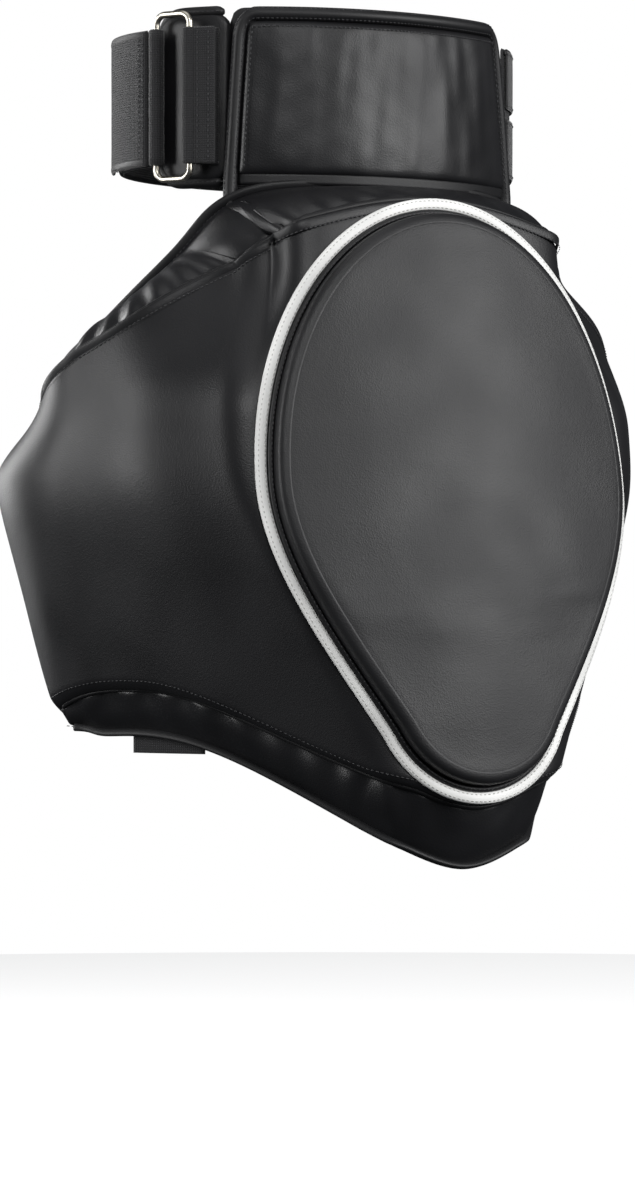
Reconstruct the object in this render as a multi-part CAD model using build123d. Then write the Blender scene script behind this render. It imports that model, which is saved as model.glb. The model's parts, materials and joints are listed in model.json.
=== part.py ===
from build123d import *
from math import asin, cos, degrees, hypot, pi, radians, sin
import os

# Trainer's groin and thigh protector. Millimetres, +Z up, the front faces -Y and the wearer's
# right side is -X. The origin is the middle of the waist belt's loop, at half the belt's height.

# ---- driving dimensions ---------------------------------------------------------------------

# Waist belt: an ellipse in plan, measured at the outer face of the front panel
waist_half_width = 150.0
waist_half_depth = 110.0
belt_height = 120.0
belt_front_turn = 50.0            # the front panel reaches this far each side, degrees
belt_edge_width = 9.0             # bound edge of the front panel
belt_panel_thickness = 4.0
belt_foam_thickness = 9.0
belt_backing_thickness = 3.0

# Waist strap, its loop tapes and its folded-back end
strap_height = 92.0
strap_thickness = 3.6
tape_height = 44.0
tape_thickness = 1.5
hook_thickness = 1.2
strap_end_thickness = 3.0
strap_end_turn = 38.0             # the folded-back end covers this much of the ellipse, degrees
hook_turn = 26.0

# Steel ring
ring_wire = 4.5
ring_width = 31.0
ring_height = 116.0
ring_corner = 7.0
ring_turn = 67.5                  # the ring sits this far round the wearer's right side, degrees
ring_guard_thickness = 7.0
ring_guard_height = 118.0
sleeve_wall = 2.8                 # webbing or strap that turns round a bar of the ring
tab_height = 92.0

# Face of the main pad
face_half_width = 146.0
face_radius = 576.0               # the face is gently curved from side to side
face_top_forward = 158.0          # how far the top of the face stands in front of the waist centre
face_top = -72.0
face_bottom = -476.0
face_lean = 0.144                 # the face comes forward by this much for each mm down
corner_radius = 25.0
flank_angle = 60.0                # the flank's outward direction, degrees from straight ahead
flank_length = 120.0
wing_radius = 80.0
wing_end_angle = 115.0

# Heights and thickness of the main pad
widest_height = -263.0            # height at which the wings bulge furthest
flank_taper = 0.28                # below it the flanks lean in by this much for each mm
flank_top_taper = 0.09            # and above it by this much
wing_top_tuck = 16.0              # the rear corner of each wing is tucked in at the top
top_slope = 0.46                  # the top edge falls this much for each mm round the pad
top_round = 60.0
bottom_rise = 76.0                # the bottom edge of the wings is this much above the middle
bottom_rise_run = 245.0
bottom_tail_drop = 12.0
lining_top = -61.0
lining_fall = 140.0
lining_fall_start = 165.0
lining_fall_run = 200.0
lining_drop_middle = 40.0         # the lining hangs below the face at the middle
lining_drop_end = 8.0
thickness_top = 58.0
thickness_middle = 58.0
thickness_bottom = 32.0
thickness_end = 16.0
leather = 1.5
impact_share = 0.55               # share of the foam that is the hard outer layer

# Raised strike pad, an egg outline seen from the front
egg_half_width = 143.5
egg_upper_height = 191.0
egg_flank_angle = 25.0            # its lower flanks lean in this far from the vertical, degrees
egg_tip_radius = 64.0
egg_flank_fullness = 0.47         # how full the flank stays before it leans in, from 0 to 1
egg_bottom = -474.0
egg_rise = 12.0
trim_width = 7.0
trim_thickness = 1.4
welt_width = 3.4
welt_height = 3.6

# Bindings
binding_width = 11.0
binding_thickness = 2.4
welt_strip = 5.0

# Thigh straps
thigh_strap_height = 50.0
thigh_strap_thickness = 2.5
thigh_strap_middle = -325.0
thigh_radius = 72.0
thigh_hinge_x = 184.0
thigh_hinge_y = 34.0
thigh_leg_clearance = 6.0
thigh_hook_length = 50.0
thigh_hook_thickness = 1.2
thigh_anchor_length = 28.0

# Clearances
layer_gap = 0.4                   # between sewn layers that follow one another
joint_gap = 1.2                   # between the strap's turn round the ring and its two ends
face_gap = 0.8                    # between the curved face and the flat-sided pieces on it
bar_clearance = 0.4               # round a bar of the ring

os.makedirs("parts", exist_ok=True)


def save(name, shape):
    """Write one sub-part to its own STEP file."""
    shape.label = name
    export_step(shape, f"parts/{name}.step")


# ---- plan of the main pad -------------------------------------------------------------------

face_angle = degrees(asin(face_half_width / face_radius))
face_run = face_radius * radians(face_angle)
corner_run = corner_radius * radians(flank_angle - face_angle)
wing_run = wing_radius * radians(wing_end_angle - flank_angle)
half_run = face_run + corner_run + flank_length + wing_run
face_middle_forward = face_top_forward + face_lean * (face_top - widest_height)


def outward(angle):
    """Unit vector that points outward at an angle from straight ahead."""
    return Vector(sin(radians(angle)), -cos(radians(angle)), 0)


def arc_step(start, angle_in, angle_out, radius):
    """End of an arc that starts at a point and turns between two outward directions."""
    return start + (outward(angle_out) - outward(angle_in)) * radius


face_front = Vector(0, -face_middle_forward, 0)
face_edge = arc_step(face_front, 0, face_angle, face_radius)
flank_start = arc_step(face_edge, face_angle, flank_angle, corner_radius)
along_flank = Vector(cos(radians(flank_angle)), sin(radians(flank_angle)), 0)
wing_start = flank_start + along_flank * flank_length


def plan_point(run):
    """Point of the outer surface and its outward angle, at a distance round the right half."""
    if run <= face_run:
        angle = degrees(run / face_radius)
        return arc_step(face_front, 0, angle, face_radius), angle
    if run <= face_run + corner_run:
        angle = face_angle + degrees((run - face_run) / corner_radius)
        return arc_step(face_edge, face_angle, angle, corner_radius), angle
    if run <= face_run + corner_run + flank_length:
        return flank_start + along_flank * (run - face_run - corner_run), flank_angle
    angle = flank_angle + degrees((run - face_run - corner_run - flank_length) / wing_radius)
    return arc_step(wing_start, flank_angle, angle, wing_radius), angle


def smooth(value, low, high):
    """Ease from 0 at low to 1 at high."""
    share = min(1.0, max(0.0, (value - low) / (high - low)))
    return share * share * (3 - 2 * share)


def station(run):
    """The pad's six guide points at a distance from the middle, negative on the right side."""
    distance = abs(run)
    side = -1 if run < 0 else 1
    point, angle = plan_point(distance)
    base = Vector(side * point.X, point.Y, 0)
    on_face = distance <= face_run
    inward_angle = flank_angle * smooth(distance, 0, face_run) if on_face else max(angle, flank_angle)
    plain = outward(inward_angle)
    inward = Vector(-side * plain.X, -plain.Y, 0)
    flank = outward(flank_angle)
    flank = Vector(side * flank.X, flank.Y, 0)
    flank_distance = flank_start.dot(outward(flank_angle))
    toward_end = smooth(distance, half_run - wing_run, half_run)

    top = face_top - top_slope * (hypot(distance, top_round) - top_round)
    rise = sin(pi / 2 * min(1.0, distance / bottom_rise_run)) ** 2
    tail = max(0.0, distance - bottom_rise_run) / (half_run - bottom_rise_run)
    bottom = face_bottom + bottom_rise * rise - bottom_tail_drop * tail ** 2
    fall = max(0.0, distance - lining_fall_start) / lining_fall_run
    inner_top = lining_top - lining_fall * fall ** 0.9
    inner_bottom = bottom - lining_drop_middle
    inner_bottom += (lining_drop_middle - lining_drop_end) * distance / half_run

    def outer(height):
        below = widest_height - height
        taper = flank_taper * below if below > 0 else -flank_top_taper * below
        if not on_face:
            tuck = wing_top_tuck * toward_end if height == top else 0
            return base + inward * (taper + tuck) + Vector(0, 0, height)
        leaning = base + Vector(0, -face_lean * below, 0)
        excess = leaning.dot(flank) - (flank_distance - taper)
        inset = max(0.0, excess / -inward.dot(flank))
        return leaning + inward * inset + Vector(0, 0, height)

    sizes = (thickness_top, thickness_middle, thickness_bottom)
    depths = [size + (thickness_end - size) * toward_end for size in sizes]
    outer_points = [outer(top), outer(widest_height), outer(bottom)]
    inner_points = [outer_points[level] + inward * depths[level] for level in range(3)]
    inner_points[0] += Vector(0, 0, inner_top - top)
    inner_points[2] += Vector(0, 0, inner_bottom - bottom)
    return {"depths": depths, "outer": outer_points, "inner": inner_points}


def guide(place, level, depth, inset):
    """A guide point: level 0 top, 1 middle, 2 bottom; depth is (share of the thickness, mm)."""
    share, extra = depth
    fraction = share + extra / place["depths"][level]
    point = place["outer"][level] * (1 - fraction) + place["inner"][level] * fraction
    return point + Vector(0, 0, (-inset, 0, inset)[level])


def faceted_solid(sections):
    """A closed solid of flat triangles through a row of outlines with the same point count."""
    triangles = []
    count = len(sections[0])
    for first, second in zip(sections, sections[1:]):
        for index in range(count):
            after = (index + 1) % count
            corners = [first[index], first[after], second[after], second[index]]
            middle = (corners[0] + corners[1] + corners[2] + corners[3]) * 0.25
            triangles += [(corners[side], corners[(side + 1) % 4], middle) for side in range(4)]
    for end in (sections[0], sections[-1]):
        centre = sum(end[1:], end[0]) * (1 / count)
        triangles += [(centre, end[index - 1], end[index]) for index in range(count)]
    solid = Solid(Shell([Face(Wire.make_polygon(corners, close=True)) for corners in triangles]))
    if solid.volume < 0:
        flipped = [Face(Wire.make_polygon(corners[::-1], close=True)) for corners in triangles]
        solid = Solid(Shell(flipped))
    return solid


def layer(runs, near, far, inset):
    """A layer of the pad between two depths, its top and bottom edges drawn in by an inset."""
    sections = []
    for run in runs:
        place = station(run)
        front = [guide(place, level, near, inset) for level in (0, 1, 2)]
        back = [guide(place, level, far, inset) for level in (2, 1, 0)]
        sections.append(front + back)
    return faceted_solid(sections)


def strip(runs, near, far, level, width):
    """A flat strip across the pad at its top (0) or bottom (2) edge, between two depths."""
    sections = []
    for run in runs:
        place = station(run)
        depths = (near, (impact_share, 0), far)
        outside = [guide(place, level, depth, 0) for depth in depths]
        inside = [guide(place, level, depth, width) for depth in reversed(depths)]
        sections.append(outside + inside)
    return faceted_solid(sections)


def edge_strip(runs, near, far, level, width):
    """A strip that starts at the top (0) or bottom (2) edge and follows the side's own slope."""
    sections = []
    for run in runs:
        place = station(run)
        corners = []
        for depth in (near, far):
            edge = guide(place, level, depth, 0)
            slope = (guide(place, 1, depth, 0) - edge).normalized()
            corners += [edge, edge + slope * width]
        sections.append([corners[0], corners[2], corners[3], corners[1]])
    return faceted_solid(sections)


def both_sides(piece):
    """A piece and its mirror image on the other side, as two solids of one sub-part."""
    return Compound(children=[piece, mirror(piece, about=Plane.YZ)])


corner_end = face_run + corner_run
wing_runs = [corner_end, corner_end + flank_length / 3, corner_end + flank_length * 2 / 3,
             corner_end + flank_length, half_run - wing_run / 2, half_run]
face_runs = [0, face_run / 6, face_run / 3, face_run * 2 / 3, face_run]
right_runs = [-run for run in reversed(wing_runs)] + [-run for run in reversed(face_runs)]
all_runs = right_runs + face_runs[1:] + wing_runs

skin = leather + layer_gap
edge_inset = leather + face_gap
impact_foam = layer(all_runs, (0, skin), (impact_share, 0), edge_inset)
comfort_foam = layer(all_runs, (impact_share, layer_gap), (1, -skin), edge_inset)
back_lining = layer(all_runs, (1, -leather), (1, 0), edge_inset)
top_gusset = strip(all_runs, (0, 0), (1, 0), 0, leather)
bottom_gusset = strip(all_runs, (0, 0), (1, 0), 2, leather)
save("impact_foam", impact_foam)
save("comfort_foam", comfort_foam)
save("back_lining", back_lining)
save("top_gusset", top_gusset)
save("bottom_gusset", bottom_gusset)

binding_near = (1, face_gap)
binding_far = (1, face_gap + binding_thickness)
left_runs = [face_run] + wing_runs
save("upper_binding", both_sides(edge_strip(left_runs, binding_near, binding_far, 0, binding_width)))
save("lower_binding", edge_strip(all_runs, binding_near, binding_far, 2, binding_width))

welt_near = (0, -layer_gap)
welt_far = (0, -layer_gap - binding_thickness)
save("top_seam_welt", both_sides(edge_strip(wing_runs, welt_near, welt_far, 0, welt_strip)))


# ---- face panel and raised strike pad -------------------------------------------------------

def face_slab(back, front):
    """A curved slab that follows the leaning face, between two distances in front of it."""
    extra = 40
    low = face_bottom - extra
    high = face_top + extra
    forward_low = face_top_forward + face_lean * (face_top - low)
    centre_y = face_radius - forward_low
    reach = face_half_width + corner_radius
    outer = Pos(0, centre_y) * Circle(face_radius + front)
    inner = Pos(0, centre_y) * Circle(face_radius + back)
    window = Pos(0, -forward_low) * Rectangle(2 * reach, 3 * extra)
    profile = Pos(0, 0, low) * ((outer - inner) & window)
    direction = Vector(0, face_lean, 1)
    return extrude(profile, amount=(high - low) * direction.length, dir=direction.normalized())


def egg_prism(inset):
    """The egg outline, drawn in by an inset, as a prism that runs through the face."""
    half = egg_half_width - inset
    top = face_top - inset
    upper = egg_upper_height - inset
    middle = top - upper
    tip = egg_tip_radius - inset
    bottom = egg_bottom + inset
    tip_centre = bottom + tip
    lean = radians(egg_flank_angle)
    tip_point = (tip * cos(lean), tip_centre - tip * sin(lean))
    top_arc = EllipticalCenterArc((0, middle), half, upper, 0, arc_size=180)
    right = Bezier((half, middle), (half, (2 * middle + tip_point[1]) / 3),
                   (tip_point[0] + egg_flank_fullness * (half - tip_point[0]), (middle + 2 * tip_point[1]) / 3),
                   tip_point)
    left = Bezier((-half, middle), (-half, (2 * middle + tip_point[1]) / 3),
                  (-tip_point[0] - egg_flank_fullness * (half - tip_point[0]), (middle + 2 * tip_point[1]) / 3),
                  (-tip_point[0], tip_point[1]))
    tip_arc = ThreePointArc(tip_point, (0, bottom), (-tip_point[0], tip_point[1]))
    outline = make_face(Plane.XZ * Curve([top_arc, right, left, tip_arc]))
    return extrude(outline, amount=4 * face_top_forward, both=True)


trim_inner = trim_width + layer_gap / 2
welt_inner = trim_inner + welt_width
rim_wall = welt_inner + layer_gap
face_panel = face_slab(-leather, 0) & egg_prism(skin + layer_gap)
white_trim = face_slab(face_gap, face_gap + trim_thickness) & (egg_prism(0) - egg_prism(trim_width))
trim_welt = face_slab(face_gap, face_gap + welt_height) & (egg_prism(trim_inner) - egg_prism(welt_inner))
strike_foam = face_slab(face_gap, egg_rise - skin) & egg_prism(rim_wall + skin)
strike_cover = (face_slab(face_gap, egg_rise) & egg_prism(rim_wall))
strike_cover -= face_slab(0, egg_rise - leather) & egg_prism(rim_wall + leather)
save("face_panel", face_panel)
cover_runs = [layer_gap] + face_runs[1:] + wing_runs
wing_cover_left = layer(cover_runs, (0, 0), (0, leather), edge_inset) - egg_prism(skin - layer_gap)
wing_cover_left = wing_cover_left.solids().sort_by(SortBy.VOLUME)[-1]
save("wing_cover_left", wing_cover_left)
save("wing_cover_right", mirror(wing_cover_left, about=Plane.YZ))
save("white_trim", white_trim)
save("trim_welt", trim_welt)
save("strike_foam", strike_foam)
save("strike_cover", strike_cover)


# ---- waist belt -----------------------------------------------------------------------------

def belt_point(turn, offset=0):
    """Point of the waist ellipse, turned from straight ahead towards the wearer's left."""
    angle = radians(turn)
    return Vector((waist_half_width + offset) * sin(angle), -(waist_half_depth + offset) * cos(angle), 0)


def belt_band(turn_from, turn_to, outer, inner, low, high):
    """A band of the waist ellipse between two turns, two offsets and two heights."""
    ring = (Ellipse(waist_half_width + outer, waist_half_depth + outer)
            - Ellipse(waist_half_width + inner, waist_half_depth + inner))
    steps = 6
    reach = 4
    turns = [turn_from + (turn_to - turn_from) * step / steps for step in range(steps + 1)]
    corners = [Vector(0, 0, 0)] + [belt_point(turn) * reach for turn in turns]
    wedge = make_face(Polyline(*[(corner.X, corner.Y) for corner in corners], close=True))
    return extrude(Pos(0, 0, low) * (ring & wedge), amount=high - low)


half_belt = belt_height / 2
edge_turn = degrees(belt_edge_width / waist_half_width)
panel_turn = belt_front_turn - edge_turn
gap_turn = degrees(layer_gap / waist_half_depth)
foam_outer = -belt_panel_thickness - layer_gap
foam_inner = foam_outer - belt_foam_thickness
backing_outer = foam_inner - layer_gap
backing_inner = backing_outer - belt_backing_thickness
panel_top = half_belt - belt_edge_width - layer_gap
inside_turn = panel_turn - gap_turn
save("belt_front_panel", belt_band(-inside_turn, inside_turn, 0, -belt_panel_thickness,
                                   -half_belt, panel_top))
save("belt_front_foam", belt_band(-inside_turn, inside_turn, foam_outer, foam_inner,
                                  -half_belt, panel_top))
save("belt_backing", belt_band(-belt_front_turn, belt_front_turn, backing_outer, backing_inner,
                               -half_belt, half_belt))
edge_box = (0, foam_inner)
belt_binding = belt_band(-belt_front_turn, -panel_turn, *edge_box, -half_belt, half_belt)
belt_binding += belt_band(panel_turn, belt_front_turn, *edge_box, -half_belt, half_belt)
belt_binding += belt_band(-belt_front_turn, belt_front_turn, *edge_box,
                          half_belt - belt_edge_width, half_belt)
save("belt_binding", belt_binding)

# ---- steel ring, its tab and its guard ------------------------------------------------------

bar_radius = ring_wire / 2
bar_offset = ring_width / 2 - bar_radius
bar_hole = bar_radius + bar_clearance
sleeve_radius = bar_hole + sleeve_wall
ring_inset = -bar_radius
ring_centre = belt_point(-ring_turn, ring_inset)
ring_slope = Vector(waist_half_width * cos(radians(ring_turn)),
                    -waist_half_depth * sin(radians(ring_turn)), 0)
to_front = ring_slope.normalized()
ring_plane = Plane(origin=ring_centre, x_dir=to_front, z_dir=to_front.cross(Vector(0, 0, 1)))
turn_per_mm = degrees(1 / ring_slope.length)

ring_path = RectangleRounded(ring_width - ring_wire, ring_height - ring_wire, ring_corner).wire()
ring_path = ring_plane * ring_path
steel_ring = sweep(Plane(origin=ring_path @ 0, z_dir=ring_path % 0) * Circle(bar_radius),
                   path=ring_path)
save("steel_ring", steel_ring)

tab_bar = ring_centre + to_front * bar_offset
strap_bar = ring_centre - to_front * bar_offset


def bar_sleeve(bar, height):
    """Webbing that turns round an upright bar of the ring, with a hole for the bar."""
    sleeve = Circle(sleeve_radius) - Circle(bar_hole)
    return extrude(Pos(bar.X, bar.Y, -height / 2) * sleeve, amount=height)


tab_turn = ring_turn - bar_offset * turn_per_mm
tab_tail = belt_band(-tab_turn, -belt_front_turn - gap_turn, ring_inset - bar_hole,
                     ring_inset - sleeve_radius, -tab_height / 2, tab_height / 2)
ring_tab = bar_sleeve(tab_bar, tab_height) + tab_tail
ring_tab -= extrude(Pos(tab_bar.X, tab_bar.Y, -tab_height) * Circle(bar_hole), amount=2 * tab_height)
save("ring_tab", ring_tab)

guard_outer = ring_inset - sleeve_radius - layer_gap
guard_far = ring_turn + (bar_offset + 2 * sleeve_radius) * turn_per_mm
ring_guard = belt_band(-guard_far, -belt_front_turn - gap_turn, guard_outer - strap_thickness,
                       guard_outer - strap_thickness - ring_guard_thickness,
                       -ring_guard_height / 2, ring_guard_height / 2)
save("ring_guard", ring_guard)

# ---- waist strap, loop tapes and folded-back end --------------------------------------------

strap_bar_turn = ring_turn + bar_offset * turn_per_mm
sleeve_turn = (sleeve_radius + joint_gap) * turn_per_mm
strap_start = strap_bar_turn + sleeve_turn
strap_outer = ring_inset - bar_hole - layer_gap
half_strap = strap_height / 2
strap_far = 360 - belt_front_turn - gap_turn
save("waist_strap", belt_band(-strap_far, -strap_start, strap_outer, strap_outer - strap_thickness,
                              -half_strap, half_strap))
tape_inner = strap_outer + layer_gap
tape_outer = tape_inner + tape_thickness
for name, low in (("loop_tape_upper", half_strap - tape_height), ("loop_tape_lower", -half_strap)):
    save(name, belt_band(-strap_far, -strap_start, tape_outer, tape_inner, low, low + tape_height))

save("strap_roll", bar_sleeve(strap_bar, strap_height))
hook_inner = tape_outer + layer_gap
hook_outer = hook_inner + hook_thickness
end_inner = hook_outer + layer_gap
end_far = strap_start + strap_end_turn
save("hook_patch", belt_band(-end_far, hook_turn - end_far, hook_outer, hook_inner,
                             -half_strap, half_strap))
save("strap_end", belt_band(-end_far, -strap_start, end_inner + strap_end_thickness, end_inner,
                            -half_strap, half_strap))

# ---- thigh straps ---------------------------------------------------------------------------

strap_low = thigh_strap_middle - thigh_strap_height / 2
thigh_centre_x = thigh_hinge_x - thigh_radius
leg_x = thigh_centre_x - thigh_radius
lining_forward = (face_top_forward + face_lean * (face_top - thigh_strap_middle) - thickness_middle)
leg_end = -lining_forward + thigh_leg_clearance
half_thick = thigh_strap_thickness / 2
thigh_reach = 14.0


def upright(shape):
    """Raise a plan shape to the full height of a thigh strap."""
    return extrude(Pos(0, 0, strap_low) * shape, amount=thigh_strap_height)


def block(x_low, x_high, y_low, y_high):
    """A plan rectangle between two x values and two y values."""
    centre = Pos((x_low + x_high) / 2, (y_low + y_high) / 2)
    return centre * Rectangle(x_high - x_low, y_high - y_low)


loop_ring = Circle(thigh_radius + half_thick) - Circle(thigh_radius - half_thick)
behind = block(-2 * thigh_radius, 2 * thigh_radius, 0, 2 * thigh_radius)
thigh_loop = Pos(thigh_centre_x, thigh_hinge_y) * (loop_ring & behind)
leg = block(leg_x - half_thick, leg_x + half_thick, leg_end, thigh_hinge_y)
thigh_strap = upright(thigh_loop + leg)
hook_face = leg_x + half_thick + layer_gap
thigh_hook = upright(block(hook_face, hook_face + thigh_hook_thickness,
                           leg_end, leg_end + thigh_hook_length))
tab_face = hook_face + thigh_hook_thickness + layer_gap
thigh_tab = upright(block(tab_face, tab_face + thigh_strap_thickness,
                          leg_end - thigh_reach, leg_end + thigh_hook_length))
thigh_tab -= back_lining
anchor_end = thigh_hinge_y - half_thick
thigh_anchor = upright(block(thigh_hinge_x - half_thick, thigh_hinge_x + half_thick,
                             anchor_end - thigh_anchor_length, anchor_end))
thigh_pieces = {"thigh_strap": thigh_strap, "thigh_hook": thigh_hook,
                "thigh_tab": thigh_tab.solids().sort_by(Axis.Y)[-1],
                "thigh_anchor": thigh_anchor}
for name, piece in thigh_pieces.items():
    save(f"{name}_left", piece)
    save(f"{name}_right", mirror(piece, about=Plane.YZ))
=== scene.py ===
import json
import math

import bmesh
import bpy
import numpy as np
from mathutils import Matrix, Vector


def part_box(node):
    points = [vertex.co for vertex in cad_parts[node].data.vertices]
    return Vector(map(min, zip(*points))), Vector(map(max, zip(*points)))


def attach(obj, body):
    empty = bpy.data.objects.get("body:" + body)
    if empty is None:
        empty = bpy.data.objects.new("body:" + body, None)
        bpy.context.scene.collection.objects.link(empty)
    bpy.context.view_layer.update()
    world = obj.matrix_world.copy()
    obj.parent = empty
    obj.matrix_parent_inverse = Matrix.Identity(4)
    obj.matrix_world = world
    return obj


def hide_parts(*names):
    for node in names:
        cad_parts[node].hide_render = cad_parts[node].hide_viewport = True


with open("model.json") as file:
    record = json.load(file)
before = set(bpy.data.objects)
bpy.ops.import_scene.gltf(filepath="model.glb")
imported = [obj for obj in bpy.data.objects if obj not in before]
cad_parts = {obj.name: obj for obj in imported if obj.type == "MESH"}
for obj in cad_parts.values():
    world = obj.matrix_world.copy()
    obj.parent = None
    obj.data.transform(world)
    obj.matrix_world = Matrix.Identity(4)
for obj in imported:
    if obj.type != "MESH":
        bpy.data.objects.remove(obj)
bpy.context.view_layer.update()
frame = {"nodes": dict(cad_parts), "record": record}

bl_info = {
    "name": "Groin and thigh protector",
    "version": (1, 0, 0),
    "blender": (4, 5, 0),
    "location": "3D View > Sidebar > Protector",
    "description": "Makes the padded covers, belt, straps and stage round the packed CAD frame",
    "category": "Add Mesh",
}

MM = 0.001


def box_mm(node):
    """Lowest and highest corner of a CAD node in millimetres."""
    low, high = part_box(node)
    return np.array(low) / MM, np.array(high) / MM


# ---- sizes read from the frame --------------------------------------------------------------

TRIM = box_mm("white_trim")
BELT = box_mm("belt_backing")
PANEL = box_mm("belt_front_panel")
STRAP = box_mm("waist_strap")
GUARD = box_mm("ring_guard")
ROLL = box_mm("strap_roll")
TAIL = box_mm("strap_end")
THIGH = box_mm("thigh_strap_left")
JOINTS = {joint["name"]: joint for joint in frame["record"]["behaviour"]["joints"]}

FACE_TOP = TRIM[1][2]
EGG = {
    "half": TRIM[1][0], "low": TRIM[0][2], "upper": 191.0, "tip": 76.0, "lean": 25.0, "fullness": 0.47,
}


class ProtectorSizes(bpy.types.PropertyGroup):
    """Sizes that a user may change, in millimetres."""
    face_radius: bpy.props.FloatProperty(
        name="Face radius", description="Radius of the face from side to side, mm", default=576.0)
    face_forward: bpy.props.FloatProperty(
        name="Face forward", description="How far the top of the face stands forward, mm", default=158.0)
    face_lean: bpy.props.FloatProperty(
        name="Face lean", description="How much the face comes forward for each mm down", default=0.144)
    pad_rise: bpy.props.FloatProperty(
        name="Pad rise", description="Height of the raised pad above the face, mm", default=15.0)
    trim_width: bpy.props.FloatProperty(
        name="Trim width", description="Width of the white band, mm", default=8.0)
    stitch_pitch: bpy.props.FloatProperty(
        name="Stitch pitch", description="Distance from one stitch to the next, mm", default=3.4)
    wrinkle_depth: bpy.props.FloatProperty(
        name="Wrinkle depth", description="Depth of the gathers in the gussets, mm", default=2.4)
    waist_half_width: bpy.props.FloatProperty(
        name="Waist half width", description="Half width of the belt at its outer face, mm", default=150.0)
    waist_half_depth: bpy.props.FloatProperty(
        name="Waist half depth", description="Half depth of the belt at its outer face, mm", default=110.0)


class ProtectorColours(bpy.types.PropertyGroup):
    """Colours of the finishes, as sRGB hex values."""
    leather: bpy.props.StringProperty(name="Leather", description="Black artificial leather",
                                      default="#1b1b1d")
    white: bpy.props.StringProperty(name="White band", description="White artificial leather",
                                    default="#f1f1ef")
    lining: bpy.props.StringProperty(name="Lining", description="Inner artificial leather", default="#19191b")
    binding: bpy.props.StringProperty(name="Binding", description="Edge binding", default="#151517")
    webbing: bpy.props.StringProperty(name="Webbing", description="Woven straps", default="#131316")
    pile: bpy.props.StringProperty(name="Loop pile", description="Brushed loop tape", default="#101012")
    thread: bpy.props.StringProperty(name="Thread", description="Black sewing thread", default="#2a2a2d")
    white_thread: bpy.props.StringProperty(name="White thread", description="Thread on the band",
                                           default="#b9b9b5")
    steel: bpy.props.StringProperty(name="Steel", description="Nickel-plated wire", default="#c9c4b8")
    foam: bpy.props.StringProperty(name="Foam", description="Closed-cell foam", default="#2c2c30")
    floor: bpy.props.StringProperty(name="Floor", description="Studio floor", default="#f4f4f4")


# ---- colours and materials ------------------------------------------------------------------

def linear(hex_colour):
    """Linear RGBA from an sRGB hex value."""
    value = np.array([int(hex_colour[i:i + 2], 16) for i in (1, 3, 5)]) / 255
    lin = np.where(value <= 0.04045, value / 12.92, ((value + 0.055) / 1.055) ** 2.4)
    return (*lin, 1.0)


def add_node(tree, kind, settings=None, values=None, links=None):
    """Adds a node with its settings, socket values and incoming links."""
    node = tree.nodes.new(kind)
    for key, value in (settings or {}).items():
        setattr(node, key, value)
    for key, value in (values or {}).items():
        node.inputs[key].default_value = value
    for key, socket in (links or {}).items():
        tree.links.new(socket, node.inputs[key])
    return node


def new_material(name, colour, roughness, **shader_values):
    """A material with its Principled shader set; returns it with the tree, shader and coordinates."""
    material = bpy.data.materials.new(name)
    material.use_nodes = True
    tree = material.node_tree
    shader = tree.nodes["Principled BSDF"]
    shader.inputs["Base Color"].default_value = linear(colour)
    shader.inputs["Roughness"].default_value = roughness
    for key, value in shader_values.items():
        shader.inputs[key].default_value = value
    material.diffuse_color = linear(colour)
    coordinates = add_node(tree, "ShaderNodeTexCoord")
    return material, tree, shader, coordinates


def varied_colour(tree, shader, colour, noise, low, high):
    """Lets a noise run the base colour a little darker and lighter."""
    base = np.array(linear(colour)[:3])
    ramp = add_node(tree, "ShaderNodeValToRGB", links={"Fac": noise.outputs["Fac"]})
    ramp.color_ramp.elements[0].position = 0.3
    ramp.color_ramp.elements[1].position = 0.7
    ramp.color_ramp.elements[0].color = (*(base * low), 1)
    ramp.color_ramp.elements[1].color = (*(base * high), 1)
    tree.links.new(ramp.outputs["Color"], shader.inputs["Base Color"])


def leather(name, colour, roughness, grain_mm, grain_depth, crease_depth):
    """Artificial leather: a pressed pebble grain, fine hair creases and slow changes of gloss."""
    material, tree, shader, coordinates = new_material(name, colour, roughness, IOR=1.44)
    place = coordinates.outputs["Object"]
    grain = add_node(tree, "ShaderNodeTexVoronoi", None, {"Scale": 1 / (grain_mm * MM)}, {"Vector": place})
    crease = add_node(tree, "ShaderNodeTexNoise", None,
                      {"Scale": 1 / (7 * MM), "Detail": 3.0, "Roughness": 0.6}, {"Vector": place})
    wear = add_node(tree, "ShaderNodeTexNoise", None, {"Scale": 1 / (60 * MM), "Detail": 1.0},
                    {"Vector": place})
    varied_colour(tree, shader, colour, wear, 0.85, 1.2)
    gloss = add_node(tree, "ShaderNodeMapRange", None,
                     {"From Min": 0.3, "From Max": 0.7,
                      "To Min": roughness - 0.04, "To Max": roughness + 0.05},
                     {"Value": wear.outputs["Fac"]})
    tree.links.new(gloss.outputs["Result"], shader.inputs["Roughness"])
    height = add_node(tree, "ShaderNodeMath", {"operation": "MULTIPLY_ADD"}, {1: grain_depth / crease_depth},
                      {0: grain.outputs["Distance"], 2: crease.outputs["Fac"]})
    bump = add_node(tree, "ShaderNodeBump", None, {"Strength": 0.45, "Distance": crease_depth * MM},
                    {"Height": height.outputs["Value"]})
    tree.links.new(bump.outputs["Normal"], shader.inputs["Normal"])
    return material


# The scale of a wave texture, times the yarn's width, that makes one wave about a yarn wide.
YARN_WAVE = 0.3183


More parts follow.
